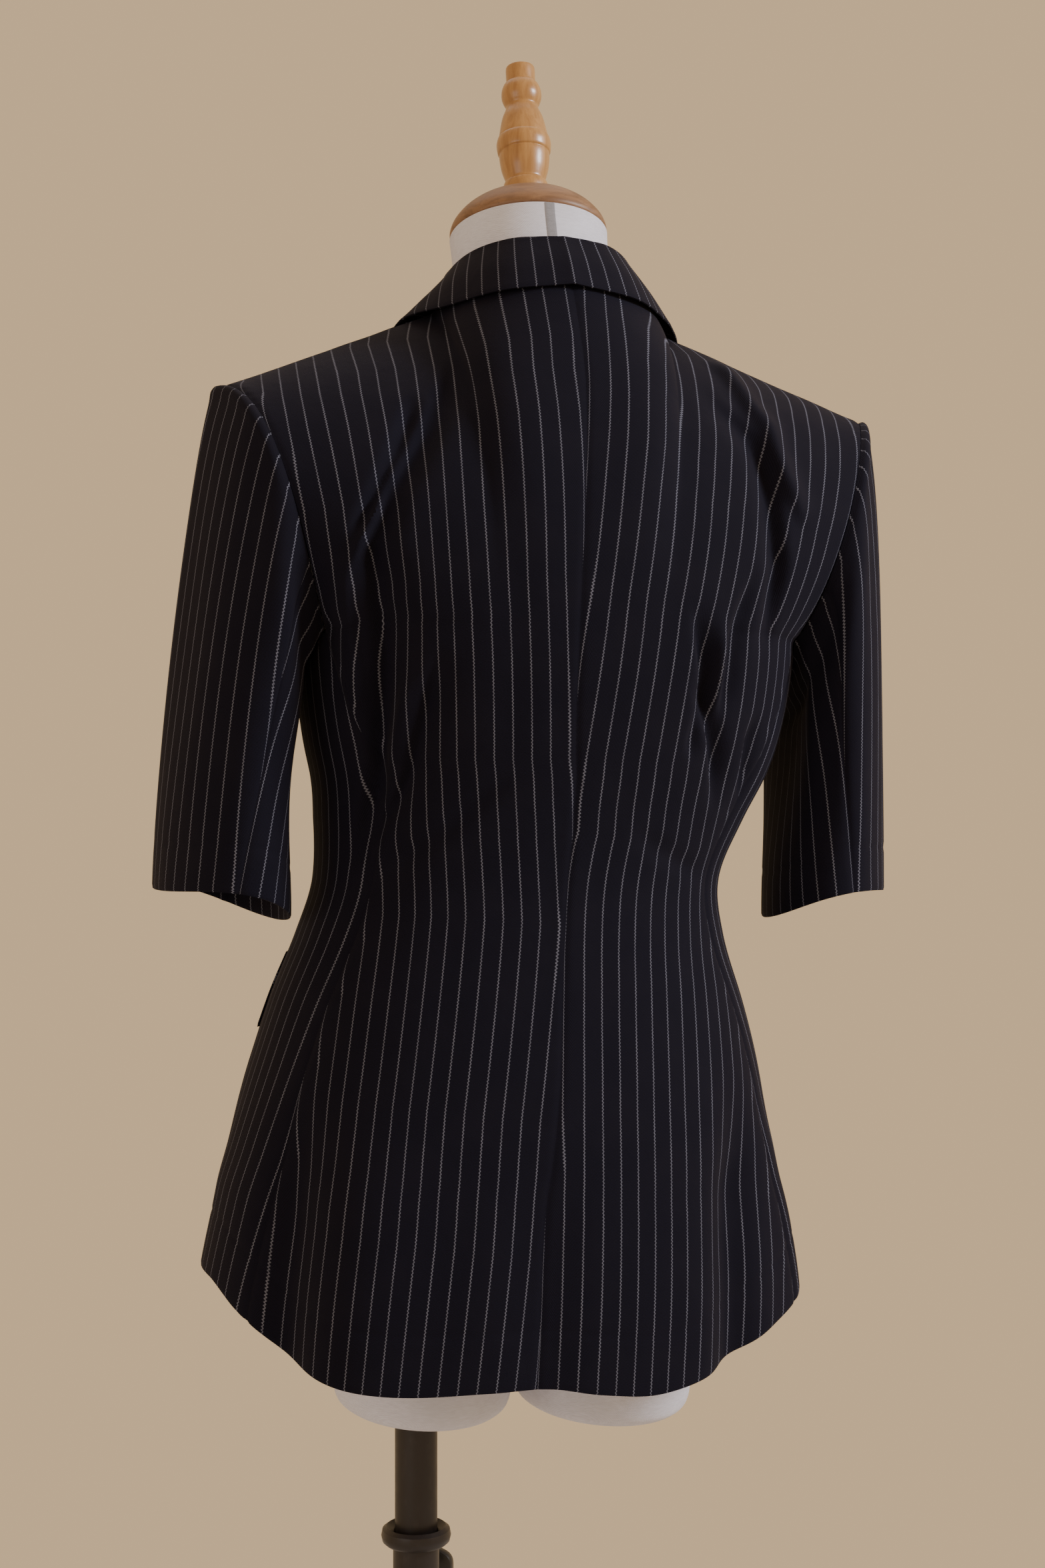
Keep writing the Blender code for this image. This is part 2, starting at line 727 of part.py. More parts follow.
# --- pocket flaps and buttons --------------------------------------------------------------------
FLAP_ANGLES = (104.0, 148.0)
FLAP_TOP_Z = 1.002
FLAP_DEPTH = 0.050
FLAP_DROP = 0.006
FLAP_FLARE = 0.0018
BUTTON_HEIGHTS = (1.062, 0.985, 0.908)
BUTTON_RADIUS = 0.0100
BUTTON_PROFILE = (
    (0.0085, 0.0000),
    (0.0100, 0.0008),
    (0.0100, 0.0022),
    (0.0090, 0.0030),
    (0.0070, 0.0024),
)


def ring_normal(angle, z):
    across = ring_point(angle + 0.5, z) - ring_point(angle - 0.5, z)
    along = ring_point(angle, z + 0.002) - ring_point(angle, z - 0.002)
    return along.cross(across).normalized()


def make_flaps(cloth):
    for side, mirror in (("left", 1), ("right", -1)):
        outer = []
        inner = []
        for down in spread(4):
            outer_row = []
            inner_row = []
            for share in spread(9):
                angle = mix(FLAP_ANGLES[0], FLAP_ANGLES[1], share)
                z = FLAP_TOP_Z - FLAP_DEPTH * down - FLAP_DROP * (1 - share)
                height = LAYER + FLAP_FLARE * down * (1 - share) ** 4
                point = ring_point(angle, z)
                normal = ring_normal(angle, z)
                height += fold_height(mirror * angle, z)
                outer_row.append(flip(point + normal * height, mirror))
                inner_row.append(flip(point + normal * (height - WALL), mirror))
            outer.append(outer_row)
            inner.append(inner_row)
        wall_between("pocket_flap_" + side, outer, inner, cloth)


def make_buttons(finish):
    for number, z in enumerate(BUTTON_HEIGHTS, 1):
        normal = ring_normal(180.0, z)
        base = lean(sway(ring_point(180.0, z) + normal * 0.0008))
        turned("button_" + str(number), BUTTON_PROFILE, base, normal, 12, finish)


# --- solids with rings ---------------------------------------------------------------------------
def ring_solid(name, rings, finish, closed=False):
    """A solid through a stack of rings, capped at both ends or closed on itself."""
    count = len(rings[0])
    points = [point for ring in rings for point in ring]
    faces = []
    steps = len(rings) if closed else len(rings) - 1
    for step in range(steps):
        low = step * count
        high = ((step + 1) % len(rings)) * count
        for index in range(count):
            after = (index + 1) % count
            faces.append((low + index, low + after, high + after, high + index))
    if not closed:
        faces.append(tuple(reversed(range(count))))
        faces.append(tuple(range((len(rings) - 1) * count, len(rings) * count)))
    return mesh_object(name, points, faces, finish)


def turned(name, profile, base, axis, segments, finish, closed=False):
    """A turned solid: the profile's columns are the radius and the distance along the axis."""
    turn = Vector((0.0, 0.0, 1.0)).rotation_difference(axis)
    rings = []
    for radius, height in profile:
        ring = []
        for step in range(segments):
            angle = 2 * math.pi * step / segments
            ring.append(base + turn @ Vector((
                radius * math.cos(angle), radius * math.sin(angle), height)))
        rings.append(ring)
    return ring_solid(name, rings, finish, closed)


# --- dress form ----------------------------------------------------------------------------------
NECK_TILT = math.radians(12)
NECK_TIP = math.tan(NECK_TILT)
# The columns are those of the jacket's rings, and how far a ring tips forward with the neck.
FORM_RINGS = (
    (0.748, 0.105, 0.074, 0.066, 0.000, 2.2, 0.00),
    (0.754, 0.130, 0.092, 0.084, 0.000, 2.2, 0.00),
    (0.768, 0.152, 0.108, 0.098, 0.000, 2.2, 0.00),
    (0.790, 0.166, 0.119, 0.107, 0.000, 2.2, 0.00),
    (0.815, 0.172, 0.123, 0.110, 0.000, 2.2, 0.00),
    (0.850, 0.170, 0.121, 0.110, 0.000, 2.2, 0.00),
    (0.900, 0.160, 0.112, 0.105, 0.000, 2.2, 0.00),
    (0.950, 0.147, 0.101, 0.100, 0.000, 2.2, 0.00),
    (1.000, 0.132, 0.092, 0.096, 0.000, 2.2, 0.00),
    (1.045, 0.125, 0.089, 0.094, 0.000, 2.2, 0.00),
    (1.090, 0.132, 0.091, 0.102, 0.000, 2.2, 0.00),
    (1.140, 0.146, 0.097, 0.114, 0.000, 2.2, 0.00),
    (1.190, 0.154, 0.102, 0.118, 0.000, 2.2, 0.00),
    (1.240, 0.158, 0.104, 0.112, 0.000, 2.2, 0.00),
    (1.290, 0.164, 0.100, 0.098, -0.003, 2.0, 0.00),
    (1.310, 0.168, 0.0935, 0.094, -0.004, 2.0, 0.00),
    (1.330, 0.172, 0.0865, 0.088, -0.004, 2.0, 0.00),
    (1.345, 0.173, 0.0785, 0.080, -0.003, 1.9, 0.00),
    (1.360, 0.172, 0.0725, 0.074, -0.005, 1.8, 0.00),
    (1.372, 0.170, 0.0615, 0.062, -0.004, 1.6, 0.00),
    (1.380, 0.1645, 0.0545, 0.055, -0.007, 1.5, 0.00),
    (1.388, 0.1525, 0.0485, 0.048, -0.010, 1.5, 0.01),
    (1.396, 0.1325, 0.0425, 0.041, -0.0125, 1.5, 0.02),
    (1.404, 0.1125, 0.039, 0.034, -0.016, 1.5, 0.03),
    (1.412, 0.0840, 0.034, 0.028, -0.021, 1.6, 0.04),
    (1.419, 0.0665, 0.039, 0.037, -0.027, 1.8, 0.06),
    (1.428, 0.0605, 0.050, 0.050, -0.030, 2.0, 0.09),
    (1.441, 0.0565, 0.0555, 0.0555, -0.035, 2.0, 0.13),
    (1.460, 0.0540, 0.0545, 0.0545, -0.041, 2.0, 0.18),
    (1.478, 0.0540, 0.0540, 0.0540, -0.047, 2.0, NECK_TIP),
    (1.487, 0.0545, 0.0545, 0.0545, -0.0495, 2.0, NECK_TIP),
)
FORM_SEGMENTS = 28
# A thigh stub: the height above its bottom, half the width and half the depth.
STUB_RINGS = (
    (0.0000, 0.045, 0.064),
    (0.0018, 0.051, 0.070),
    (0.0070, 0.056, 0.075),
    (0.0200, 0.058, 0.078),
    (0.0500, 0.058, 0.080),
    (0.1000, 0.050, 0.070),
)
# Each stub's middle across, and the height of its bottom.
STUBS = ((0.0470, 0.7014), (-0.0765, 0.6965))
CAP_PROFILE = (
    (0.0526, 0.0000),
    (0.0542, 0.0019),
    (0.0540, 0.0052),
    (0.0516, 0.0103),
    (0.0458, 0.0169),
    (0.0372, 0.0230),
    (0.0270, 0.0273),
    (0.0174, 0.0293),
)
FINIAL_PROFILE = (
    (0.0140, 0.0000),
    (0.0152, 0.0017),
    (0.0163, 0.0057),
    (0.0154, 0.0097),
    (0.0150, 0.0115),
    (0.0162, 0.0149),
    (0.0175, 0.0229),
    (0.0179, 0.0332),
    (0.0182, 0.0355),
    (0.0192, 0.0395),
    (0.0184, 0.0435),
    (0.0176, 0.0458),
    (0.0158, 0.0538),
    (0.0128, 0.0630),
    (0.0116, 0.0698),
    (0.0128, 0.0733),
    (0.0143, 0.0790),
    (0.0130, 0.0847),
    (0.0108, 0.0882),
    (0.0105, 0.0996),
)


def form_ring(row):
    z, half_width, back, front, centre_y, squareness, tilt = row
    ring = []
    for step in range(FORM_SEGMENTS):
        angle = 2 * math.pi * step / FORM_SEGMENTS
        sine = math.sin(angle)
        cosine = math.cos(angle)
        depth = back if cosine > 0 else front
        x = half_width * math.copysign(abs(sine) ** (2 / squareness), sine)
        y = depth * math.copysign(abs(cosine) ** (2 / squareness), cosine)
        ring.append(lean(sway(Vector((x, centre_y + y, z + tilt * y)))))
    return ring


def add_modifier(target, kind, **settings):
    modifier = target.modifiers.new(kind.title(), kind)
    for key, value in settings.items():
        setattr(modifier, key, value)


def make_form(cover, cap_wood, turned_wood):
    torso = ring_solid("form_torso", [form_ring(row) for row in FORM_RINGS], cover)
    for number, (x, bottom) in enumerate(STUBS, 1):
        rings = []
        for height, half_width, half_depth in STUB_RINGS:
            rings.append([
                lean(sway(Vector((
                    x + half_width * math.cos(2 * math.pi * step / 20),
                    half_depth * math.sin(2 * math.pi * step / 20),
                    bottom + height,
                ))))
                for step in range(20)
            ])
        stub = ring_solid("stub_" + str(number), rings, cover)
        stub.hide_render = True
        stub.display_type = "WIRE"
        add_modifier(torso, "BOOLEAN", operation="UNION", solver="EXACT", object=stub)

    top = Vector((0.0, FORM_RINGS[-1][4], FORM_RINGS[-1][0]))
    axis = Vector((0.0, -math.sin(NECK_TILT), math.cos(NECK_TILT)))
    axis = lean(LEAN_PIVOT + axis) - LEAN_PIVOT
    base = lean(sway(top)) + axis * 0.0004
    turned("neck_cap", CAP_PROFILE, base, axis, 28, cap_wood)
    base = base + axis * (CAP_PROFILE[-1][1] + SEAM_GAP)
    turned("finial", FINIAL_PROFILE, base, axis, 16, turned_wood)


# --- stand -----------------------------------------------------------------------------------------
TUBE_X = 0.0585
UPPER_RADIUS = 0.0140
LOWER_RADIUS = 0.0152
LOWER_BORE = 0.0143
UPPER_BOTTOM_Z = 0.330
UPPER_TOP_Z = 0.7015
LOWER_TOP_Z = 0.6100
RING_PROFILE = (
    (0.0146, 0.0000),
    (0.0200, 0.0000),
    (0.0222, 0.0020),
    (0.0230, 0.0055),
    (0.0222, 0.0095),
    (0.0195, 0.0115),
    (0.0175, 0.0100),
    (0.0146, 0.0085),
)
BOSS_Z = 0.581
BOSS_LENGTH = 0.0070
BOSS_TURN = math.radians(26)
KNOB_RADIUS = 0.0200
KNOB_LOBES = 6
BASE_PROFILE = (
    (0.1680, 0.0000),
    (0.1700, 0.0015),
    (0.1700, 0.0035),
    (0.1680, 0.0055),
    (0.0900, 0.0065),
)
SOCKET_PROFILE = (
    (0.0156, 0.0000),
    (0.0300, 0.0000),
    (0.0300, 0.0040),
    (0.0210, 0.0080),
    (0.0200, 0.0400),
    (0.0156, 0.0400),
)


def make_stand(steel, black):
    up = Vector((0.0, 0.0, 1.0))
    foot = Vector((TUBE_X, 0.0, 0.0))
    turned("base_plate", BASE_PROFILE, Vector(), up, 40, steel)
    top = BASE_PROFILE[-1][1] + SEAM_GAP
    turned("base_socket", SOCKET_PROFILE, foot + up * top, up, 24, steel, closed=True)
    lower = (
        (LOWER_BORE, top),
        (LOWER_RADIUS, top),
        (LOWER_RADIUS, LOWER_TOP_Z),
        (LOWER_BORE, LOWER_TOP_Z),
    )
    turned("lower_tube", lower, foot, up, 24, steel, closed=True)
    upper = ((UPPER_RADIUS, UPPER_BOTTOM_Z), (UPPER_RADIUS, UPPER_TOP_Z))
    turned("upper_tube", upper, foot, up, 24, steel)
    turned("clamp_ring", RING_PROFILE, foot + up * (LOWER_TOP_Z + SEAM_GAP), up, 24, steel,
           closed=True)

    out = Vector((-math.sin(BOSS_TURN), -math.cos(BOSS_TURN), 0.0))
    boss = foot + up * BOSS_Z + out * (LOWER_RADIUS + 0.0003)
    profile = ((0.0036, 0.0), (0.0065, 0.0), (0.0065, BOSS_LENGTH), (0.0036, BOSS_LENGTH))
    turned("clamp_boss", profile, boss, out, 16, steel, closed=True)
    make_knob(boss + out * (BOSS_LENGTH + SEAM_GAP), out, black)


def make_knob(base, out, black):
    """A lobed hand knob with its screw."""
    turn = Vector((0.0, 0.0, 1.0)).rotation_difference(out)
    segments = 30
    rows = ((0.0032, -0.0060, 0.0), (0.0032, 0.0, 0.0), (0.0090, 0.0, 0.0), (0.0110, 0.0020, 0.0),
            (KNOB_RADIUS - 0.0020, 0.0020, 1.0), (KNOB_RADIUS, 0.0040, 1.0),
            (KNOB_RADIUS, 0.0095, 1.0), (KNOB_RADIUS - 0.0030, 0.0115, 1.0))
    rings = []
    for radius, height, lobed in rows:
        ring = []
        for step in range(segments):
            angle = 2 * math.pi * step / segments
            reach = radius - lobed * 0.0018 * (1 - math.cos(KNOB_LOBES * angle)) * 0.5
            ring.append(base + turn @ Vector((
                reach * math.cos(angle), reach * math.sin(angle), height)))
        rings.append(ring)
    ring_solid("clamp_knob", rings, black)


def build():
    clear_scene()
    cloth = material("pinstripe worsted", CLOTH_COLOUR, 0.85)
    make_body_panels(cloth)
    make_lapels(cloth)
    make_collar(cloth)
    make_sleeves(cloth)
    make_flaps(cloth)
    make_buttons(material("button horn", BLACK_COLOUR, 0.35))
    make_form(
        material("form cover", FORM_COLOUR, 0.9),
        material("cap wood", CAP_WOOD_COLOUR, 0.35),
        material("turned wood", TURNED_WOOD_COLOUR, 0.35),
    )
    make_stand(
        material("painted steel", STEEL_COLOUR, 0.4, 0.6),
        material("black plastic", BLACK_COLOUR, 0.45),
    )


build()
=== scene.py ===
"""The suit jacket on its dress form, dressed for the camera.

Metres, +Z up. Angles round the body run from the centre back (0) over the wearer's left side (90)
to the front (180). Every piece of cloth is laid out flat to find how it was cut, and the stripes
run along the grain of that flat piece.
"""
import math

import bmesh
import bpy
import numpy as np
from mathutils import Matrix, Vector


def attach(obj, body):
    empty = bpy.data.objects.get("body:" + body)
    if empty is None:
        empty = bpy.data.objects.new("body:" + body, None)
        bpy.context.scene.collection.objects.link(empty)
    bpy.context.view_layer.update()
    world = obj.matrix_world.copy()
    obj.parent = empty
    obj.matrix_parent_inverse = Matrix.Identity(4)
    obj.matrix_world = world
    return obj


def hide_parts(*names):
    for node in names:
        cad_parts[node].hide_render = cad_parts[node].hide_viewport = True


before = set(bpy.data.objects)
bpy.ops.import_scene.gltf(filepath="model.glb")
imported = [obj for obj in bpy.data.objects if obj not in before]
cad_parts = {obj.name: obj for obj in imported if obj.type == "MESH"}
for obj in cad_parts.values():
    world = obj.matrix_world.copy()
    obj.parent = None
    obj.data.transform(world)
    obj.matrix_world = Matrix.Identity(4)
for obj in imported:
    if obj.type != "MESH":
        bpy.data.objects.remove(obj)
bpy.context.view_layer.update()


# --- cloth ---------------------------------------------------------------------------------------
WALL = 0.002
SEAM_GAP = 0.0003
LAYER = WALL + 0.0006

# The form and the jacket lean to the wearer's right, and the chest sways that way above the
# waist: the columns of the sway are the height and the shift across.
LEAN = math.radians(0.6)
LEAN_PIVOT = Vector((0.0, 0.0, 0.75))
SWAY = (
    (0.700, 0.0076),
    (0.850, 0.0068),
    (0.880, 0.0036),
    (0.930, -0.0002),
    (1.000, -0.0025),
    (1.050, -0.0074),
    (1.085, -0.0150),
    (1.120, -0.0225),
    (1.200, -0.0254),
    (1.360, -0.0276),
    (1.420, -0.0252),
    (1.500, -0.0235),
)

# Outer face of the jacket's body, level by level: the columns are the height, half the width, the
# depth behind and before the middle, the middle's own place front to back, and the squareness.
BODY_RINGS = (
    (0.735, 0.2015, 0.152, 0.136, 0.000, 2.30),
    (0.790, 0.1970, 0.149, 0.132, 0.000, 2.30),
    (0.837, 0.1885, 0.143, 0.127, 0.000, 2.30),
    (0.881, 0.1800, 0.135, 0.121, 0.000, 2.30),
    (0.925, 0.1702, 0.126, 0.115, 0.000, 2.25),
    (0.968, 0.1580, 0.116, 0.110, 0.000, 2.25),
    (1.012, 0.1430, 0.107, 0.107, 0.000, 2.20),
    (1.048, 0.1360, 0.102, 0.107, 0.000, 2.20),
    (1.090, 0.1450, 0.104, 0.115, 0.000, 2.20),
    (1.140, 0.1600, 0.111, 0.127, 0.000, 2.25),
    (1.190, 0.1670, 0.117, 0.131, 0.000, 2.30),
    (1.260, 0.1680, 0.119, 0.122, 0.000, 2.30),
)

# Height of the lower edge round the body; angles below zero are on the wearer's right.
HEM_LINE = (
    (-190.0, 0.782),
    (-150.0, 0.786),
    (-110.0, 0.791),
    (-75.0, 0.784),
    (-60.0, 0.768),
    (-50.0, 0.756),
    (-38.0, 0.745),
    (-25.0, 0.739),
    (-12.0, 0.742),
    (0.0, 0.747),
    (15.0, 0.747),
    (33.0, 0.746),
    (46.0, 0.751),
    (58.0, 0.764),
    (68.0, 0.785),
    (80.0, 0.800),
    (110.0, 0.796),
    (150.0, 0.788),
    (190.0, 0.782),
)

# Armhole: an oval loop, turned from its lowest point (0) over the back (90) to the top (180).
ARMHOLE_MIDDLE_Z = 1.274
ARMHOLE_HALF_HEIGHT = 0.0895
ARMHOLE_BACK = 0.075
ARMHOLE_FRONT = 0.070
PANEL_TURN = 40.0
CHEST_Z = ARMHOLE_MIDDLE_Z - ARMHOLE_HALF_HEIGHT * math.cos(math.radians(PANEL_TURN))
NAPE = Vector((0.0, 0.056, 1.4355))
NECK_SIDE = Vector((0.076, -0.022, 1.4250))
SHOULDER_TIP = Vector((0.2215, 0.0, 1.3635))
NECK_SHARE = 0.36
LAP = 0.020
BREAK_Z = 1.075
CORNER_RADIUS = 0.045


def mix(first, second, share):
    return first + (second - first) * share


def hermite(start, end, start_slope, end_slope, share):
    square = share * share
    cube = square * share
    return (
        start * (2 * cube - 3 * square + 1)
        + start_slope * (cube - 2 * square + share)
        + end * (3 * square - 2 * cube)
        + end_slope * (cube - square)
    )


def read_table(rows, key):
    """The columns of a table at one value of its first column, on a smooth curve."""
    key = min(max(key, rows[0][0]), rows[-1][0])
    low = 0
    while low < len(rows) - 2 and rows[low + 1][0] < key:
        low += 1
    span = rows[low + 1][0] - rows[low][0]
    share = (key - rows[low][0]) / span

    def slope(index, column):
        before = rows[max(index - 1, 0)]
        after = rows[min(index + 1, len(rows) - 1)]
        return (after[column] - before[column]) / (after[0] - before[0]) * span

    return [
        hermite(rows[low][c], rows[low + 1][c], slope(low, c), slope(low + 1, c), share)
        for c in range(1, len(rows[0]))
    ]


def smooth_step(value):
    value = min(max(value, 0.0), 1.0)
    return value * value * (3 - 2 * value)


def sway(point):
    return point + Vector((read_table(SWAY, point.z)[0], 0.0, 0.0))


def lean(point):
    turn = Matrix.Rotation(-LEAN, 3, "Y")
    return turn @ (point - LEAN_PIVOT) + LEAN_PIVOT


# --- the body's surface --------------------------------------------------------------------------
def ring_point(angle, z):
    half_width, back, front, centre_y, squareness = read_table(BODY_RINGS, z)
    turn = math.radians(angle)
    depth = back if math.cos(turn) > 0 else front
    reach = (abs(math.sin(turn)) / half_width) ** squareness
    reach += (abs(math.cos(turn)) / depth) ** squareness
    radius = reach ** (-1 / squareness)
    return Vector((radius * math.sin(turn), centre_y + radius * math.cos(turn), z))


def ring_side_x(y, z):
    """How far out the body's surface lies at one place front to back."""
    half_width, back, front, centre_y, squareness = read_table(BODY_RINGS, z)
    depth = back if y > centre_y else front
    return half_width * (1 - (abs(y - centre_y) / depth) ** squareness) ** (1 / squareness)


def front_angle(x, z):
    """The angle of the front surface at one place across; past the middle it is over 180."""
    half_width, _, front, _, squareness = read_table(BODY_RINGS, z)
    depth = front * (1 - (abs(x) / half_width) ** squareness) ** (1 / squareness)
    return 180.0 - math.degrees(math.atan2(x, depth))


def armhole_point(turn):
    """A point of the left armhole's edge; turns below zero run over the front."""
    angle = math.radians(turn)
    depth = ARMHOLE_BACK if turn > 0 else ARMHOLE_FRONT
    y = depth * math.sin(angle)
    z = ARMHOLE_MIDDLE_Z - ARMHOLE_HALF_HEIGHT * math.cos(angle)
    if abs(turn) <= PANEL_TURN:
        return Vector((ring_side_x(y, z), y, z))
    seam_y = depth * math.sin(math.copysign(math.radians(PANEL_TURN), turn))
    rise = (abs(turn) - PANEL_TURN) / (180.0 - PANEL_TURN)
    return Vector((mix(ring_side_x(seam_y, CHEST_Z), SHOULDER_TIP.x, rise), y, z))


def armhole_angle(turn):
    point = armhole_point(turn)
    return math.degrees(math.atan2(point.x, point.y))


# Angle of the centre back seam, which wanders off the middle as the jacket hangs.
CENTRE_SEAM = (
    (0.735, 3.5),
    (0.850, 1.0),
    (0.950, -2.1),
    (1.000, -3.5),
    (1.040, -3.7),
    (1.070, -2.0),
    (1.100, 1.3),
    (1.130, 4.0),
    (1.160, 5.0),
    (CHEST_Z, 5.2),
)

# Angle of the two seams of a side panel, from the hem up to the armhole.
BACK_SEAM = (
    (0.735, 66.0),
    (0.850, 65.0),
    (0.950, 64.0),
    (1.040, 60.0),
    (1.120, 62.0),
    (CHEST_Z, armhole_angle(PANEL_TURN)),
)
FRONT_SEAM = (
    (0.735, 112.0),
    (0.950, 114.0),
    (1.040, 116.0),
    (CHEST_Z, armhole_angle(-PANEL_TURN)),
)


def centre_seam(z):
    return read_table(CENTRE_SEAM, z)[0]


def back_seam(z):
    return read_table(BACK_SEAM, z)[0]


def front_seam(z):
    return read_table(FRONT_SEAM, z)[0]


def front_edge_x(z):
    """The front edge past the centre, and above the break the roll line up to the neck."""
    climb = (z - BREAK_Z) / (NECK_SIDE.z - BREAK_Z)
    return mix(-LAP, NECK_SIDE.x, max(climb, 0.0))


def top_of_back(share):
    """The back's upper edge: the neck seam, and past NECK_SHARE the shoulder seam."""
    side = math.copysign(1.0, share)
    share = abs(share)
    if share <= NECK_SHARE:
        turn = math.radians(90 * share / NECK_SHARE)
        point = Vector((
            NECK_SIDE.x * math.sin(turn),
            mix(NECK_SIDE.y, NAPE.y, math.cos(turn)),
            mix(NECK_SIDE.z, NAPE.z, math.cos(turn)),
        ))
    else:
        point = mix(NECK_SIDE, SHOULDER_TIP, (share - NECK_SHARE) / (1 - NECK_SHARE))
    return Vector((side * point.x, point.y, point.z))


def upper_point(start, start_slope, top, tilt, rise):
    """A curve from the chest over the shoulder blade or the breast up to the top edge."""
    reach = (top - start).length * 1.15
    forward = -math.copysign(1.0, start.y)
    end_slope = Vector((0.0, forward * math.sin(tilt), math.cos(tilt))) * reach
    return hermite(start, top, start_slope.normalized() * reach, end_slope, rise)


def chest_slope(angle):
    return ring_point(angle, CHEST_Z) - ring_point(angle, CHEST_Z - 0.01)


def back_upper(share, rise, mirror):
    first = mirror * centre_seam(CHEST_Z)
    last = armhole_angle(PANEL_TURN)

    def column(place):
        angle = mix(first, last, place)
        tilt = math.radians(mix(28.0, 66.0, smooth_step(abs(place) / NECK_SHARE)))
        return upper_point(
            ring_point(angle, CHEST_Z), chest_slope(angle), top_of_back(place), tilt, rise)

    edge = armhole_point(mix(PANEL_TURN, 180.0, min(rise, 1.0))) - column(1.0)
    return column(share) + edge * max(share, 0.0) ** 3


def front_upper(share, rise):
    first = front_angle(front_edge_x(CHEST_Z), CHEST_Z)
    last = armhole_angle(-PANEL_TURN)

    def column(place):
        angle = mix(first, last, place)
        tilt = math.radians(mix(48.0, 62.0, smooth_step(place)))
        top = mix(NECK_SIDE, SHOULDER_TIP, place)
        return upper_point(ring_point(angle, CHEST_Z), chest_slope(angle), top, tilt, rise)

    edge = armhole_point(-mix(PANEL_TURN, 180.0, min(rise, 1.0))) - column(1.0)
    return column(share) + edge * max(share, 0.0) ** 3


def hem_height(angle):
    return read_table(HEM_LINE, angle)[0]


# --- panels: each surface takes a share across and a height, and gives a point and an angle ------
# Level 0 is the hem, 1 the chest and 2 the top edge. Points are in the left side's frame; mirror
# is -1 for the wearer's right, where the hem and the centre seam run differently.
HEM_BACK_ANGLE = BACK_SEAM[0][1]
HEM_FRONT_ANGLE = FRONT_SEAM[0][1]
HEM_EDGE_ANGLE = 188.0


def back_surface(share, level, mirror):
    if level > 1.0:
        angle = mix(mirror * centre_seam(CHEST_Z), armhole_angle(PANEL_TURN), share)
        return back_upper(share, level - 1.0, mirror), angle
    low = mix(mirror * CENTRE_SEAM[0][1], HEM_BACK_ANGLE, share)
    z = mix(hem_height(mirror * low), CHEST_Z, level)
    angle = mix(mirror * centre_seam(z), back_seam(z), share)
    return ring_point(angle, z), angle


def side_surface(share, level, mirror):
    low = mix(HEM_BACK_ANGLE, HEM_FRONT_ANGLE, share)
    turn = mix(PANEL_TURN, -PANEL_TURN, share)
    top = ARMHOLE_MIDDLE_Z - ARMHOLE_HALF_HEIGHT * math.cos(math.radians(turn))
    z = mix(hem_height(mirror * low), top, level)
    widening = armhole_angle(turn) - mix(back_seam(top), front_seam(top), share)
    angle = mix(back_seam(z), front_seam(z), share)
    angle += widening * smooth_step((level - 0.7) / 0.3)
    return ring_point(angle, z), angle


def front_surface(share, level, mirror):
    """Here level 2 is the shoulder seam and share 0 the front edge with its rounded corner."""
    if level > 1.0:
        angle = mix(front_angle(front_edge_x(CHEST_Z), CHEST_Z), armhole_angle(-PANEL_TURN), share)
        return front_upper(share, level - 1.0), angle
    rounding = 0.0
    distance = share * 0.19
    if distance < CORNER_RADIUS:
        short = CORNER_RADIUS - max(distance, 0.0)
        rounding = CORNER_RADIUS - math.sqrt(max(CORNER_RADIUS ** 2 - short ** 2, 0.0))
    low = mix(HEM_EDGE_ANGLE, HEM_FRONT_ANGLE, share)
    z = mix(hem_height(mirror * low) + rounding, CHEST_Z, level)
    angle = mix(front_angle(front_edge_x(z), z), front_seam(z), share)
    return ring_point(angle, z), angle


def outward(surface, share, level, mirror):
    """The outward direction of a surface, from points just beside it."""
    step = 0.004
    high = min(level + step, 2.0)
    across = surface(share + step, level, mirror)[0] - surface(share - step, level, mirror)[0]
    along = surface(share, high, mirror)[0] - surface(share, level - step, mirror)[0]
    normal = across.cross(along).normalized()
    point = surface(share, level, mirror)[0]
    inside = Vector((0.5 * point.x, 0.0, point.z - 0.08))
    if normal.dot(point - inside) < 0:
        normal.negate()
    return normal


def under_lap(point):
    """How far the left front sinks to pass behind the right one, and its lapel with it."""
    edge = -front_edge_x(point.z)
    layers = 1 + 1.4 * smooth_step((point.z - BREAK_Z + 0.015) / 0.02)
    return -LAYER * layers * (1 - smooth_step((point.x - edge - 0.006) / 0.035))


# --- lapels, collar, flaps, buttons --------------------------------------------------------------
# A lapel's outer edge: how far up the roll line, how far across the front, and how far it droops.
LAPEL_EDGE = (
    (0.00, 0.020, 0.00),
    (0.30, 0.210, 0.01),
    (0.60, 0.360, 0.03),
    (0.85, 0.470, 0.06),
    (1.00, 0.500, 0.10),
)
LAPEL_TOP = 1.80
LAPEL_ROLL = 0.0030
BREAK_LEVEL = (BREAK_Z - 0.778) / (CHEST_Z - 0.778)


def lapel_surface(share, climb, mirror):
    reach, droop = read_table(LAPEL_EDGE, climb)
    level = mix(BREAK_LEVEL + 0.02, LAPEL_TOP, climb) - droop * share
    place = 0.004 + reach * share
    point, angle = front_surface(place, level, mirror)
    return point, outward(front_surface, place, level, mirror), angle


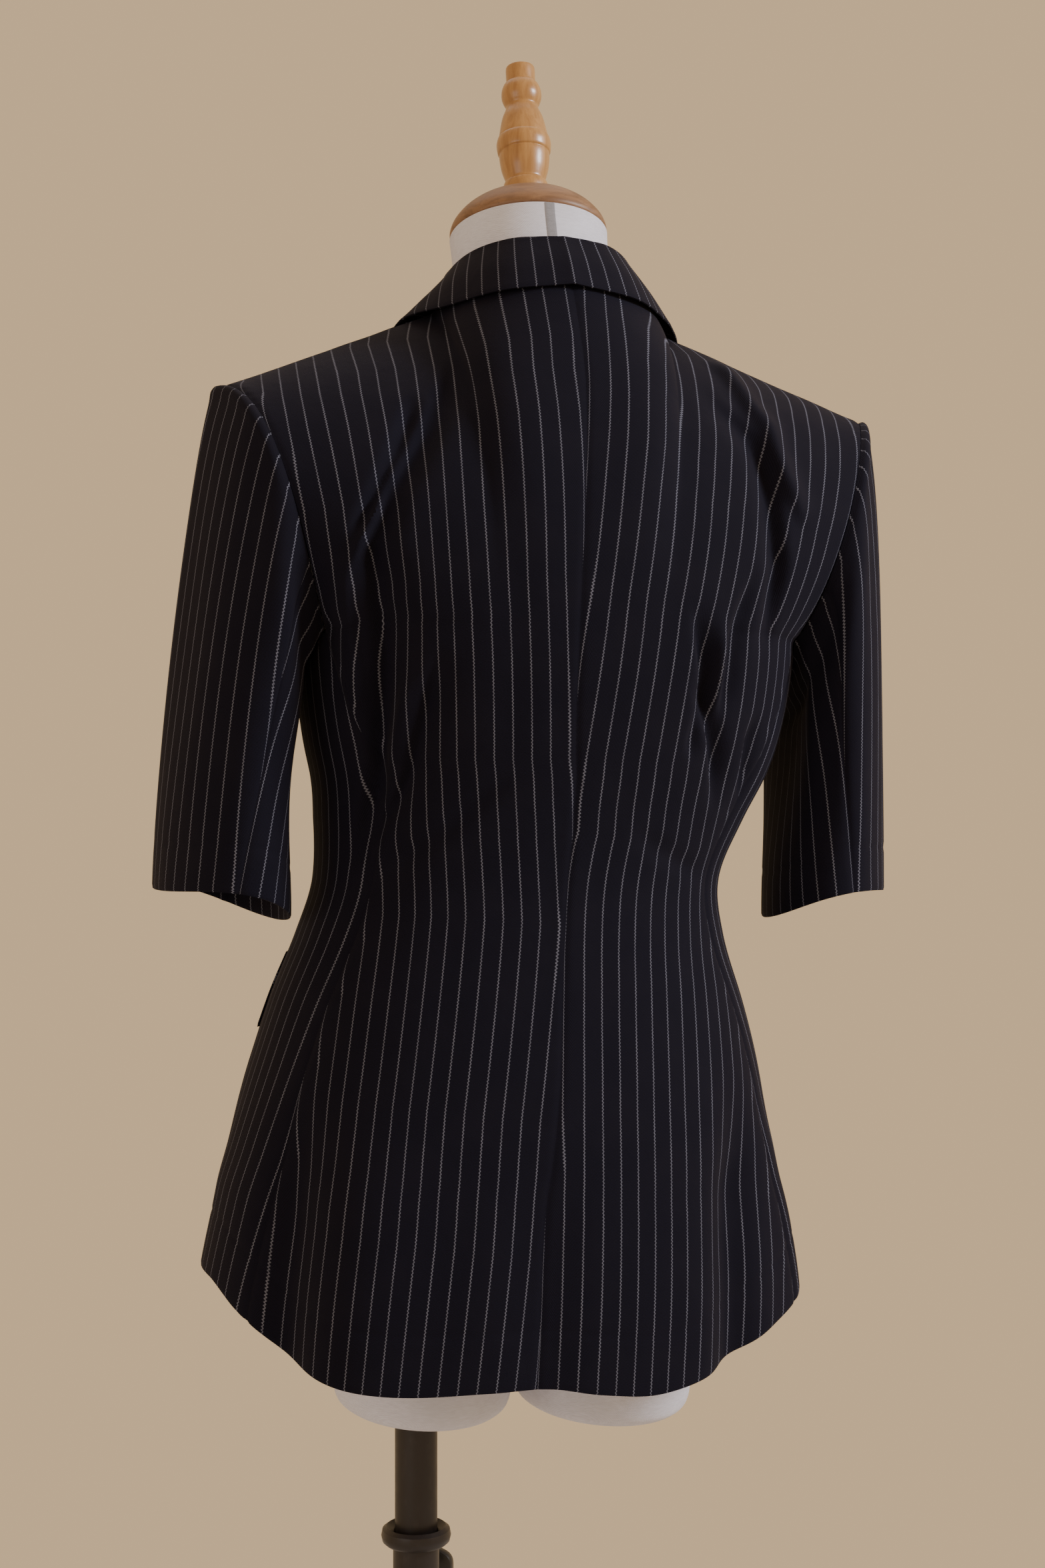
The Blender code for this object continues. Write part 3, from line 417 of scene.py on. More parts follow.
# The collar from the centre back (0) to its front end (1). Each row gives the crest's place
# across, front to back and up, and then the same three of the fall's lower edge.
COLLAR_RUN = (
    (0.00, 0.0000, 0.0370, 1.4668, 0.0000, 0.0640, 1.4318),
    (0.22, 0.0315, 0.0270, 1.4655, 0.0458, 0.0534, 1.4268),
    (0.42, 0.0540, 0.0010, 1.4600, 0.0758, 0.0225, 1.4212),
    (0.60, 0.0640, -0.0270, 1.4490, 0.0920, -0.0085, 1.4210),
    (0.75, 0.0665, -0.0390, 1.4340, 0.1000, -0.0250, 1.4165),
    (0.88, 0.0665, -0.0475, 1.4190, 0.1055, -0.0375, 1.4020),
    (1.00, 0.0655, -0.0550, 1.4050, 0.1095, -0.0475, 1.3895),
)
COLLAR_TURN = 0.60
COLLAR_FRONT_LEVEL = 1.86
COLLAR_LIFT = 0.0016


def collar_seam(run):
    """The neck seam, moved just inside the neck and above it."""
    if run <= COLLAR_TURN:
        seam = back_surface(NECK_SHARE * run / COLLAR_TURN, 1.999, 1)[0]
    else:
        along = (run - COLLAR_TURN) / (1 - COLLAR_TURN)
        seam = front_surface(0.0, mix(1.999, COLLAR_FRONT_LEVEL, along), 1)[0]
    inward = Vector((-seam.x, -seam.y - 0.02, 0.0)).normalized()
    return seam + inward * 0.0030 + Vector((0.0, 0.0, COLLAR_LIFT))


def collar_section(run):
    row = read_table(COLLAR_RUN, run)
    crest = Vector(row[:3])
    edge = Vector(row[3:])
    base = collar_seam(run)
    out = edge - base
    out.z = 0.0
    out.normalize()
    turn = 0.0027
    up = Vector((0.0, 0.0, 1.0))
    over = crest + out * (2.0 * turn) - up * turn
    middle = mix(over, edge, 0.5) + out * 0.001 + up * 0.001
    return [
        base,
        mix(base, crest, 0.55) - out * 0.001,
        crest - up * turn * 0.6,
        crest + out * turn + up * turn * 0.3,
        over,
        middle,
        edge,
    ]


# --- sleeves -------------------------------------------------------------------------------------
SLEEVE_HEM = Vector((0.2080, 0.000, 1.034))
SLEEVE_HALF_WIDTH = 0.041
SLEEVE_HALF_DEPTH = 0.065
SLEEVE_TWIST = math.radians(-13)
SLEEVE_SWAY = -0.018
SLEEVE_START = 0.0013
SLEEVE_HEM_TILT = 0.010
SEAM_TURN = PANEL_TURN + 28.0

# The turn of the sleeve's two seams, by how far down the sleeve.
SLEEVE_BACK_SEAM = ((0.0, SEAM_TURN), (0.5, 90.0), (1.0, 106.0))
SLEEVE_FRONT_SEAM = ((0.0, -SEAM_TURN), (0.5, -60.0), (1.0, -56.0))


def sleeve_surface(turn, drop, armhole_turn, mirror):
    """A point of a sleeve in the left side's frame: drop 0 is the armhole and 1 the hem."""
    start = armhole_point((armhole_turn + 180.0) % 360.0 - 180.0)
    start.x += SLEEVE_START + mirror * read_table(SWAY, start.z)[0]
    angle = math.radians(turn)
    across = -SLEEVE_HALF_WIDTH * math.cos(angle)
    deep = SLEEVE_HALF_DEPTH * math.sin(angle)
    end = SLEEVE_HEM + Vector((
        across * math.cos(SLEEVE_TWIST) + deep * math.sin(SLEEVE_TWIST) + mirror * SLEEVE_SWAY,
        deep * math.cos(SLEEVE_TWIST) - across * math.sin(SLEEVE_TWIST),
        -0.004 * math.cos(2 * angle) - SLEEVE_HEM_TILT * math.cos(angle),
    ))
    rise = 0.5 - 0.5 * math.cos(math.radians(armhole_turn))
    side = math.sin(math.radians(armhole_turn))
    leave = Vector((0.052 - 0.014 * rise, 0.030 * side, -0.085 + 0.110 * rise))
    arrive = Vector((0.004, 0.0, (end.z - start.z) * 0.9))
    return hermite(start, end, leave, arrive, drop)


def seam_turns(drop, whole):
    """The columns of a ring of the whole tube: the turn at the armhole and the turn there."""
    back = read_table(SLEEVE_BACK_SEAM, drop)[0]
    front = read_table(SLEEVE_FRONT_SEAM, drop)[0]
    ring = []
    for turn in whole:
        if turn <= SEAM_TURN:
            place = mix(front, back, (turn + SEAM_TURN) / (2 * SEAM_TURN))
        else:
            place = mix(back, front + 360.0, (turn - SEAM_TURN) / (360.0 - 2 * SEAM_TURN))
        ring.append((turn, place))
    return ring


# --- pocket flaps and buttons --------------------------------------------------------------------
FLAP_ANGLES = (104.0, 148.0)
FLAP_TOP_Z = 1.002
FLAP_DEPTH = 0.050
FLAP_DROP = 0.006
FLAP_FLARE = 0.0018
BUTTON_HEIGHTS = (1.062, 0.985, 0.908)
HOLE_REACH = 0.0021
HOLE_RADIUS = 0.0008
BUTTON_PROFILE = (
    (0.0085, 0.0000),
    (0.0100, 0.0008),
    (0.0100, 0.0022),
    (0.0090, 0.0030),
    (0.0070, 0.0024),
)


def ring_normal(angle, z):
    across = ring_point(angle + 0.5, z) - ring_point(angle - 0.5, z)
    along = ring_point(angle, z + 0.002) - ring_point(angle, z - 0.002)
    return along.cross(across).normalized()


# --- dress form ----------------------------------------------------------------------------------
NECK_TILT = math.radians(12)
NECK_TIP = math.tan(NECK_TILT)

# The columns are those of the jacket's rings, and how far a ring tips forward with the neck.
FORM_RINGS = (
    (0.748, 0.105, 0.074, 0.066, 0.000, 2.2, 0.00),
    (0.754, 0.130, 0.092, 0.084, 0.000, 2.2, 0.00),
    (0.768, 0.152, 0.108, 0.098, 0.000, 2.2, 0.00),
    (0.790, 0.166, 0.119, 0.107, 0.000, 2.2, 0.00),
    (0.815, 0.172, 0.123, 0.110, 0.000, 2.2, 0.00),
    (0.850, 0.170, 0.121, 0.110, 0.000, 2.2, 0.00),
    (0.900, 0.160, 0.112, 0.105, 0.000, 2.2, 0.00),
    (0.950, 0.147, 0.101, 0.100, 0.000, 2.2, 0.00),
    (1.000, 0.132, 0.092, 0.096, 0.000, 2.2, 0.00),
    (1.045, 0.125, 0.089, 0.094, 0.000, 2.2, 0.00),
    (1.090, 0.132, 0.091, 0.102, 0.000, 2.2, 0.00),
    (1.140, 0.146, 0.097, 0.114, 0.000, 2.2, 0.00),
    (1.190, 0.154, 0.102, 0.118, 0.000, 2.2, 0.00),
    (1.240, 0.158, 0.104, 0.112, 0.000, 2.2, 0.00),
    (1.290, 0.164, 0.100, 0.098, -0.003, 2.0, 0.00),
    (1.310, 0.168, 0.0935, 0.094, -0.004, 2.0, 0.00),
    (1.330, 0.172, 0.0865, 0.088, -0.004, 2.0, 0.00),
    (1.345, 0.173, 0.0785, 0.080, -0.003, 1.9, 0.00),
    (1.360, 0.172, 0.0725, 0.074, -0.005, 1.8, 0.00),
    (1.372, 0.170, 0.0615, 0.062, -0.004, 1.6, 0.00),
    (1.380, 0.1645, 0.0545, 0.055, -0.007, 1.5, 0.00),
    (1.388, 0.1525, 0.0485, 0.048, -0.010, 1.5, 0.01),
    (1.396, 0.1325, 0.0425, 0.041, -0.0125, 1.5, 0.02),
    (1.404, 0.1125, 0.039, 0.034, -0.016, 1.5, 0.03),
    (1.412, 0.0840, 0.034, 0.028, -0.021, 1.6, 0.04),
    (1.419, 0.0665, 0.039, 0.037, -0.027, 1.8, 0.06),
    (1.428, 0.0605, 0.050, 0.050, -0.030, 2.0, 0.09),
    (1.441, 0.0565, 0.0555, 0.0555, -0.035, 2.0, 0.13),
    (1.460, 0.0540, 0.0545, 0.0545, -0.041, 2.0, 0.18),
    (1.478, 0.0540, 0.0540, 0.0540, -0.047, 2.0, NECK_TIP),
    (1.487, 0.0545, 0.0545, 0.0545, -0.0495, 2.0, NECK_TIP),
)

# A thigh stub: the height above its bottom, half the width and half the depth.
STUB_RINGS = (
    (0.0000, 0.045, 0.064),
    (0.0018, 0.051, 0.070),
    (0.0070, 0.056, 0.075),
    (0.0200, 0.058, 0.078),
    (0.0500, 0.058, 0.080),
    (0.1000, 0.050, 0.070),
)

# Each stub's middle across, and the height of its bottom.
STUBS = ((0.0470, 0.7014), (-0.0765, 0.6965))
CAP_PROFILE = (
    (0.0526, 0.0000),
    (0.0542, 0.0019),
    (0.0540, 0.0052),
    (0.0516, 0.0103),
    (0.0458, 0.0169),
    (0.0372, 0.0230),
    (0.0270, 0.0273),
    (0.0174, 0.0293),
)

# --- stand ---------------------------------------------------------------------------------------
TUBE_X = 0.0585
UPPER_RADIUS = 0.0140
LOWER_RADIUS = 0.0152
LOWER_BORE = 0.0143
UPPER_BOTTOM_Z = 0.330
UPPER_TOP_Z = 0.7015
LOWER_TOP_Z = 0.6100
RING_PROFILE = (
    (0.0146, 0.0000),
    (0.0200, 0.0000),
    (0.0222, 0.0020),
    (0.0230, 0.0055),
    (0.0222, 0.0095),
    (0.0195, 0.0115),
    (0.0175, 0.0100),
    (0.0146, 0.0085),
)
BOSS_Z = 0.581
BOSS_LENGTH = 0.0070
BOSS_RADIUS = 0.0065
BOSS_BORE = 0.0036
BOSS_TURN = math.radians(26)
KNOB_RADIUS = 0.0200
KNOB_LOBES = 6
KNOB_GROOVE = 0.0018
BASE_PROFILE = (
    (0.1680, 0.0000),
    (0.1700, 0.0015),
    (0.1700, 0.0035),
    (0.1680, 0.0055),
    (0.0900, 0.0065),
)
SOCKET_PROFILE = (
    (0.0156, 0.0000),
    (0.0300, 0.0000),
    (0.0300, 0.0040),
    (0.0210, 0.0080),
    (0.0200, 0.0400),
    (0.0156, 0.0400),
)


# --- folds ---------------------------------------------------------------------------------------
# A fold follows a line over the body: pairs of angle and height, its depth (troughs below zero),
# its half width on the side of greater angles and on the other, and how much of its length fades
# out at each end.
BODY_FOLDS = (
    # wearer's left: two creases and the ridge between them, from the shoulder blade to the armhole
    (((40, 1.357), (47, 1.322), (53, 1.294), (58, 1.273), (62, 1.257)), -0.0066, 0.0036, 0.0052,
     0.22, 0.20),
    (((46, 1.317), (51, 1.296), (55.5, 1.274), (60, 1.254), (64, 1.236)), 0.0040, 0.0036, 0.0034,
     0.25, 0.30),
    (((28, 1.392), (36, 1.352), (46, 1.309), (51, 1.290), (54, 1.272), (57.5, 1.255),
     (60, 1.236)), -0.0086, 0.0036, 0.0090, 0.45, 0.12),
    # the fold that hangs from there behind the arm to the waist, and its lip
    (((57.5, 1.262), (58.3, 1.220), (57.8, 1.192), (58.4, 1.170), (60, 1.148), (62, 1.122),
     (64.2, 1.098), (66, 1.075), (69, 1.050)), -0.0112, 0.0048, 0.0140, 0.12, 0.25),
    (((62.5, 1.255), (64.5, 1.220), (64, 1.192), (63.5, 1.170), (65, 1.150), (68, 1.125)), 0.0056,
     0.0110, 0.0040, 0.20, 0.35),
    (((42, 1.196), (45.8, 1.168), (48.6, 1.146), (51.5, 1.124), (55, 1.104), (59, 1.088),
     (64, 1.070)), -0.0076, 0.0044, 0.0100, 0.30, 0.25),
    (((50, 1.185), (53.5, 1.152), (57, 1.126), (60, 1.106)), 0.0048, 0.0060, 0.0050, 0.35, 0.30),
    (((20, 1.115), (32, 1.098), (46, 1.072), (60, 1.052)), -0.0034, 0.0060, 0.0080, 0.40, 0.30),
    # wearer's right
    (((-32.6, 1.402), (-36.5, 1.389), (-39, 1.374), (-41.7, 1.358), (-45.7, 1.343),
     (-48.3, 1.322), (-52.2, 1.302), (-56.1, 1.288), (-61.3, 1.274)), 0.0056, 0.0040, 0.0090,
     0.15, 0.25),
    (((-29, 1.388), (-32, 1.362), (-38, 1.347), (-42, 1.336), (-45.5, 1.318), (-48.5, 1.295),
     (-51.5, 1.268), (-54, 1.248), (-54.8, 1.215), (-55.8, 1.189)), -0.0082, 0.0100, 0.0042, 0.45,
     0.25),
    (((-47, 1.252), (-45, 1.228), (-43.3, 1.200), (-42.5, 1.170), (-41.5, 1.143)), -0.0054,
     0.0050, 0.0095, 0.30, 0.30),
    (((-29, 1.228), (-33.4, 1.197), (-35.5, 1.174), (-38, 1.156), (-42, 1.136), (-46, 1.114),
     (-52, 1.090)), -0.0074, 0.0042, 0.0090, 0.25, 0.30),
    (((-38, 1.222), (-39.5, 1.195), (-40, 1.165), (-43, 1.140)), 0.0044, 0.0050, 0.0050, 0.35,
     0.35),
    (((-31, 1.181), (-34.7, 1.160), (-34.2, 1.137), (-37, 1.122)), -0.0040, 0.0040, 0.0065, 0.35,
     0.35),
    (((-54, 1.160), (-56, 1.130), (-61, 1.096)), -0.0052, 0.0050, 0.0080, 0.35, 0.35),
    (((-20, 1.085), (-34, 1.070), (-48, 1.058), (-60, 1.050)), -0.0020, 0.0070, 0.0070, 0.40,
     0.30),
    # flutes of the skirt
    (((63, 0.930), (61, 0.880), (59, 0.820), (57.5, 0.740)), -0.0130, 0.014, 0.018, 0.45, 0.0),
    (((40, 0.920), (41, 0.860), (42, 0.800), (42, 0.735)), 0.0060, 0.028, 0.028, 0.50, 0.0),
    (((-55, 0.930), (-52, 0.870), (-48, 0.810), (-46, 0.735)), -0.0110, 0.016, 0.015, 0.45, 0.0),
    (((-70, 0.910), (-69, 0.850), (-68, 0.735)), 0.0080, 0.020, 0.020, 0.50, 0.0),
    (((0, 0.900), (1, 0.840), (2, 0.735)), -0.0040, 0.022, 0.022, 0.50, 0.0),
    (((100, 0.930), (98, 0.850), (97, 0.735)), -0.0050, 0.022, 0.022, 0.50, 0.0),
    (((-102, 0.930), (-100, 0.850), (-99, 0.735)), -0.0050, 0.022, 0.022, 0.50, 0.0),
)
# Metres round the body for each degree, for measuring across folds.
ARC = 0.0026
RIPPLE_DEPTH = 0.00035


def smooth(values):
    values = np.clip(values, 0.0, 1.0)
    return values * values * (3 - 2 * values)


def dip(distance, width):
    """A soft round bump: 1 at no distance, and nearly 0 past twice the width."""
    return np.exp(-((distance / width) ** 2))


def smooth_path(points, steps=8):
    """More points along a line, on a smooth curve through the given ones."""
    points = np.array(points, dtype=float)
    slopes = np.gradient(points, axis=0)
    path = []
    for index in range(len(points) - 1):
        for step in range(steps):
            share = step / steps
            path.append(hermite(
                points[index], points[index + 1], slopes[index], slopes[index + 1], share))
    path.append(points[-1])
    return np.array(path)


def fold_relief(across, up, path, depth, wide_high, wide_low, fade_in, fade_out):
    """One fold's height over arrays of places, in metres across and up."""
    nearest = np.full(across.shape, 1e9)
    signed = np.zeros(across.shape)
    along = np.zeros(across.shape)
    lengths = np.linalg.norm(np.diff(path, axis=0), axis=1)
    total = lengths.sum()
    done = 0.0
    for start, end, length in zip(path[:-1], path[1:], lengths):
        run = (end - start) / length
        place = (across - start[0]) * run[0] + (up - start[1]) * run[1]
        held = np.clip(place, 0.0, length)
        gap_x = across - start[0] - run[0] * held
        gap_y = up - start[1] - run[1] * held
        gap = np.hypot(gap_x, gap_y)
        closer = gap < nearest
        nearest = np.where(closer, gap, nearest)
        signed = np.where(closer, gap_x, signed)
        along = np.where(closer, (done + held) / total, along)
        done += length
    width = np.where(signed > 0, wide_high, wide_low)
    fade = np.ones(across.shape)
    if fade_in > 0:
        fade = fade * smooth(along / fade_in)
    if fade_out > 0:
        fade = fade * smooth((1 - along) / fade_out)
    return depth * fade * dip(nearest, width)


def ripple(across, up, seed):
    """Low, slow unevenness of cloth that hangs."""
    rng = np.random.default_rng(seed)
    total = np.zeros(across.shape)
    for _ in range(10):
        length = rng.uniform(0.035, 0.11)
        turn = rng.uniform(-0.5, 0.5)
        wave = (across * math.cos(turn) + 0.45 * up * math.sin(turn)) / length
        total += rng.uniform(0.3, 1.0) * np.sin(2 * math.pi * (wave + rng.random()))
    return total / 4.0


def body_relief(angle, height):
    across = angle * ARC
    total = RIPPLE_DEPTH * ripple(across, height, 3)
    for path, depth, wide_high, wide_low, fade_in, fade_out in BODY_FOLDS:
        line = smooth_path(path)
        line[:, 0] *= ARC
        total += fold_relief(
            across, height, line, depth, wide_high, wide_low, fade_in, fade_out)
    return total


# --- laying a piece out flat ---------------------------------------------------------------------
# Each corner of a triangle with the two after it.
CORNERS = ((0, 1, 2), (1, 2, 0), (2, 0, 1))
TINY = 1e-12


def lay_flat(points, rounds):
    """The flat places of a grid of points that keep its lengths as nearly as they can."""
    rows, columns = points.shape[:2]
    corner = np.arange(rows * columns).reshape(rows, columns)
    low = np.stack([corner[:-1, :-1], corner[:-1, 1:], corner[1:, 1:]], -1).reshape(-1, 3)
    high = np.stack([corner[:-1, :-1], corner[1:, 1:], corner[1:, :-1]], -1).reshape(-1, 3)
    faces = np.concatenate([low, high])
    flat = points.reshape(-1, 3)
    side = flat[faces[:, 1]] - flat[faces[:, 0]]
    other = flat[faces[:, 2]] - flat[faces[:, 0]]
    base = np.linalg.norm(side, axis=1)
    along = np.einsum("ij,ij->i", side, other) / base
    rise = np.linalg.norm(np.cross(side, other), axis=1) / base
    zero = np.zeros(len(faces))
    places = ((zero, zero), (base, zero), (along, rise))
    shape = np.stack([np.stack(place, 1) for place in places], 1)
    weights = np.zeros((len(faces), 3))
    for index, after, last in CORNERS:
        first = shape[:, after] - shape[:, index]
        second = shape[:, last] - shape[:, index]
        cross = first[:, 0] * second[:, 1] - first[:, 1] * second[:, 0]
        weights[:, index] = (first * second).sum(1) / np.maximum(cross, TINY)
    size = len(flat)
    grid = np.zeros((size, size))
    for index, after, last in CORNERS:
        start = faces[:, after]
        end = faces[:, last]
        np.add.at(grid, (start, start), weights[:, index])
        np.add.at(grid, (end, end), weights[:, index])
        np.add.at(grid, (start, end), -weights[:, index])
        np.add.at(grid, (end, start), -weights[:, index])
    grid[0] = 0.0
    grid[0, 0] = 1.0
    solve = np.linalg.inv(grid)
    middle = columns // 2
    steps = np.linalg.norm(np.diff(points, axis=1), axis=2)
    u = np.concatenate([np.zeros((rows, 1)), np.cumsum(steps, axis=1)], axis=1)
    u -= u[:, middle:middle + 1]
    v = np.concatenate([[0.0], np.cumsum(
        np.linalg.norm(np.diff(points[:, middle], axis=0), axis=1))])
    laid = np.stack([u, np.repeat(v[:, None], columns, 1)], -1).reshape(-1, 2)
    for _ in range(rounds):
        pull = np.zeros((size, 2))
        now = laid[faces]
        blend = np.zeros((len(faces), 2, 2))
        for index, first, second in CORNERS:
            true = shape[:, second] - shape[:, first]
            seen = now[:, second] - now[:, first]
            blend += weights[:, index, None, None] * seen[:, :, None] * true[:, None, :]
        cosine = blend[:, 0, 0] + blend[:, 1, 1]
        sine = blend[:, 1, 0] - blend[:, 0, 1]
        length = np.maximum(np.hypot(cosine, sine), 1e-15)
        cosine = cosine / length
        sine = sine / length
        for index, first, second in CORNERS:
            true = shape[:, second] - shape[:, first]
            turned_x = cosine * true[:, 0] - sine * true[:, 1]
            turned_y = sine * true[:, 0] + cosine * true[:, 1]
            moved = weights[:, index, None] * np.stack([turned_x, turned_y], 1)
            np.add.at(pull, faces[:, second], moved)
            np.add.at(pull, faces[:, first], -moved)
        pull[0] = laid[0]
        laid = solve @ pull
    return laid.reshape(rows, columns, 2)


def finer(coarse, at, wanted):
    """A grid read at other places along its first axis, on a smooth curve."""
    slopes = np.gradient(coarse, at, axis=0)
    index = np.clip(np.searchsorted(at, wanted, side="right") - 1, 0, len(at) - 2)
    span = (at[index + 1] - at[index]).reshape((-1,) + (1,) * (coarse.ndim - 1))
    share = (wanted - at[index]).reshape(span.shape) / span
    return hermite(
        coarse[index], coarse[index + 1], slopes[index] * span, slopes[index + 1] * span, share)


def finer_grid(coarse, rows, columns, wanted_rows, wanted_columns):
    """A grid read at other places along both its axes."""
    grid = finer(coarse, rows, wanted_rows)
    return finer(grid.transpose(1, 0, 2), columns, wanted_columns).transpose(1, 0, 2)


def few(count, step):
    """Every few places of a count, and both its ends."""
    return np.unique(np.round(np.linspace(0, count - 1, max(count // step, 6))).astype(int))


def cut_of(points, line, row_step=6, column_step=5, rounds=60):
    """The flat places of a fine grid. The grain runs straight up a line, which is two places
    given as shares across and up; they are where a stripe runs."""
    rows, columns = points.shape[:2]
    row_places = few(rows, row_step)
    column_places = few(columns, column_step)
    coarse = points[np.ix_(row_places, column_places)]
    laid = finer_grid(
        lay_flat(coarse, rounds), row_places.astype(float), column_places.astype(float),
        np.arange(rows, dtype=float), np.arange(columns, dtype=float))
    ends = []
    for share, up in line:
        ends.append(laid[int(round(up * (rows - 1))), int(round(share * (columns - 1)))])
    grain = (ends[1] - ends[0]) / np.linalg.norm(ends[1] - ends[0])
    away = laid - ends[0]
    u = away[..., 0] * grain[1] - away[..., 1] * grain[0]
    v = away[..., 0] * grain[0] + away[..., 1] * grain[1]
    return np.stack([u, v], -1)


# --- shells of cloth -----------------------------------------------------------------------------
CLOTH_WALL = 0.0017
HEM_DEPTH = 0.035
SLEEVE_HEM_DEPTH = 0.030
# Seams sink in, the hem's stitches a little less, and the cloth puckers along its seams.
SEAM_DEPTH = 0.0009
SEAM_WIDTH = 0.0022
STITCH_DEPTH = 0.00045
STITCH_WIDTH = 0.0016
PUCKER_DEPTH = 0.00012
PUCKER_PITCH = 0.0045
PUCKER_WIDTH = 0.006
# How far each face of the cloth turns in along an open edge.
EDGE_TRIM = 0.0004
CLOTH_SHARP = 50


def unit(vectors):
    return vectors / np.maximum(np.linalg.norm(vectors, axis=-1, keepdims=True), 1e-12)


def normals_of(points, closed=False):
    along = np.gradient(points, axis=0)
    if closed:
        across = np.roll(points, -1, axis=1) - np.roll(points, 1, axis=1)
    else:
        across = np.gradient(points, axis=1)
    return unit(np.cross(across, along))


def edge_distances(points):
    """How far each point lies from the first and last column and from the first and last row."""
    steps = np.linalg.norm(np.diff(points, axis=1), axis=2)
    left = np.concatenate([np.zeros((len(points), 1)), np.cumsum(steps, axis=1)], axis=1)
    right = left[:, -1:] - left
    steps = np.linalg.norm(np.diff(points, axis=0), axis=2)
    low = np.concatenate([np.zeros((1, points.shape[1])), np.cumsum(steps, axis=0)], axis=0)
    high = low[-1:] - low
    return left, right, low, high


def linked(name, data):
    made = bpy.data.objects.new(name, data)
    bpy.context.scene.collection.objects.link(made)
    return made


def solid(name, points, faces, finish, sharp, cut=None):
    """An object with its faces outward, smooth up to an angle in degrees."""
    mesh = bpy.data.meshes.new(name)
    mesh.from_pydata(points.tolist(), [], faces)
    if cut is not None:
        kept = mesh.attributes.new("cut", "FLOAT_VECTOR", "POINT")
        both = np.concatenate([cut.reshape(-1, 2)] * 2)
        kept.data.foreach_set(
            "vector", np.concatenate([both, np.zeros((len(both), 1))], 1).ravel())
    shape = bmesh.new()
    shape.from_mesh(mesh)
    bmesh.ops.recalc_face_normals(shape, faces=shape.faces)
    shape.to_mesh(mesh)
    shape.free()
    mesh.materials.append(finish)
    mesh.shade_smooth()
    mesh.set_sharp_from_angle(angle=math.radians(sharp))
    return linked(name, mesh)


def shell(name, outer, inner, cut, finish):
    """A closed wall of cloth from its two faces, with the flat cut kept on it."""
    rows, columns = outer.shape[:2]
    points = np.concatenate([outer.reshape(-1, 3), inner.reshape(-1, 3)])
    corner = np.arange(rows * columns).reshape(rows, columns)
    quads = [corner[:-1, :-1], corner[:-1, 1:], corner[1:, 1:], corner[1:, :-1]]
    quads = np.stack(quads, -1).reshape(-1, 4)
    back = rows * columns
    rim = np.concatenate([corner[0, :], corner[1:, -1], corner[-1, -2::-1], corner[-2:0:-1, 0]])
    after = np.roll(rim, -1)
    walls = np.stack([after, rim, back + rim, back + after], 1)
    faces = np.concatenate([quads, back + quads[:, ::-1], walls])
    return solid(name, points, faces.tolist(), finish, CLOTH_SHARP, cut)


def settled(points, swaying=True):
    """Points of the plain frame, swayed and leant as the form stands."""
    if swaying:
        heights = np.linspace(SWAY[0][0], SWAY[-1][0], 400)
        shifts = [read_table(SWAY, z)[0] for z in heights]
        shift = np.interp(points[..., 2], heights, shifts)[..., None]
        points = points + shift * np.array([1.0, 0.0, 0.0])
    turn = np.array(Matrix.Rotation(-LEAN, 3, "Y"))
    pivot = np.array(LEAN_PIVOT)
    return (points - pivot) @ turn.T + pivot


def declare(made, node):
    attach(made, "form")
    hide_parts(node)


def trim(outer, inner, normal, edges):
    for edge in edges:
        outer[edge] -= normal[edge] * EDGE_TRIM
        inner[edge] += normal[edge] * EDGE_TRIM


def dress(node, outer, inner, cut, finish, mirror=1, swaying=True):
    """The shell that stands for one node, from its two faces in the left side's frame."""
    flipped = np.array([mirror, 1.0, 1.0])
    made = shell(node + "_cloth", settled(outer * flipped, swaying),
                 settled(inner * flipped, swaying), cut, finish)
    declare(made, node)


def crowded(count, length, near=(0.0, 0.0008, 0.002, 0.0038, 0.0062)):
    """Shares across a piece of some length, closer together beside its two edges."""
    inner = np.linspace(near[-1] + 0.003, length - near[-1] - 0.003, count)
    return np.concatenate([near, inner, length - np.array(near[::-1])]) / length


def surface_grid(surface, shares, levels, mirror):
    points = np.zeros((len(levels), len(shares), 3))
    angles = np.zeros((len(levels), len(shares)))
    for row, level in enumerate(levels):
        for column, share in enumerate(shares):
            point, angle = surface(float(share), float(level), mirror)
            points[row, column] = point
            angles[row, column] = mirror * angle
    return points, angles


def eased(cut, ease):
    """The cut as the worn cloth has it: steam and the seams draw the grain aside, by an amount
    in millimetres at some places across the piece and at each height up it."""
    places, rows = ease
    rows = np.array(rows)
    drawn = np.zeros(cut.shape[:2])
    left = np.interp(cut[..., 1], rows[:, 0], rows[:, 1])
    for number, (start, end) in enumerate(zip(places[:-1], places[1:])):
        right = np.interp(cut[..., 1], rows[:, 0], rows[:, number + 2])
        share = smooth((cut[..., 0] - start) / (end - start))
        drawn += (right - left) * share
        if number == 0:
            drawn += left
        left = right
    return np.stack([cut[..., 0] - drawn / 1000.0, cut[..., 1]], -1)


MANY_LEVELS = 250


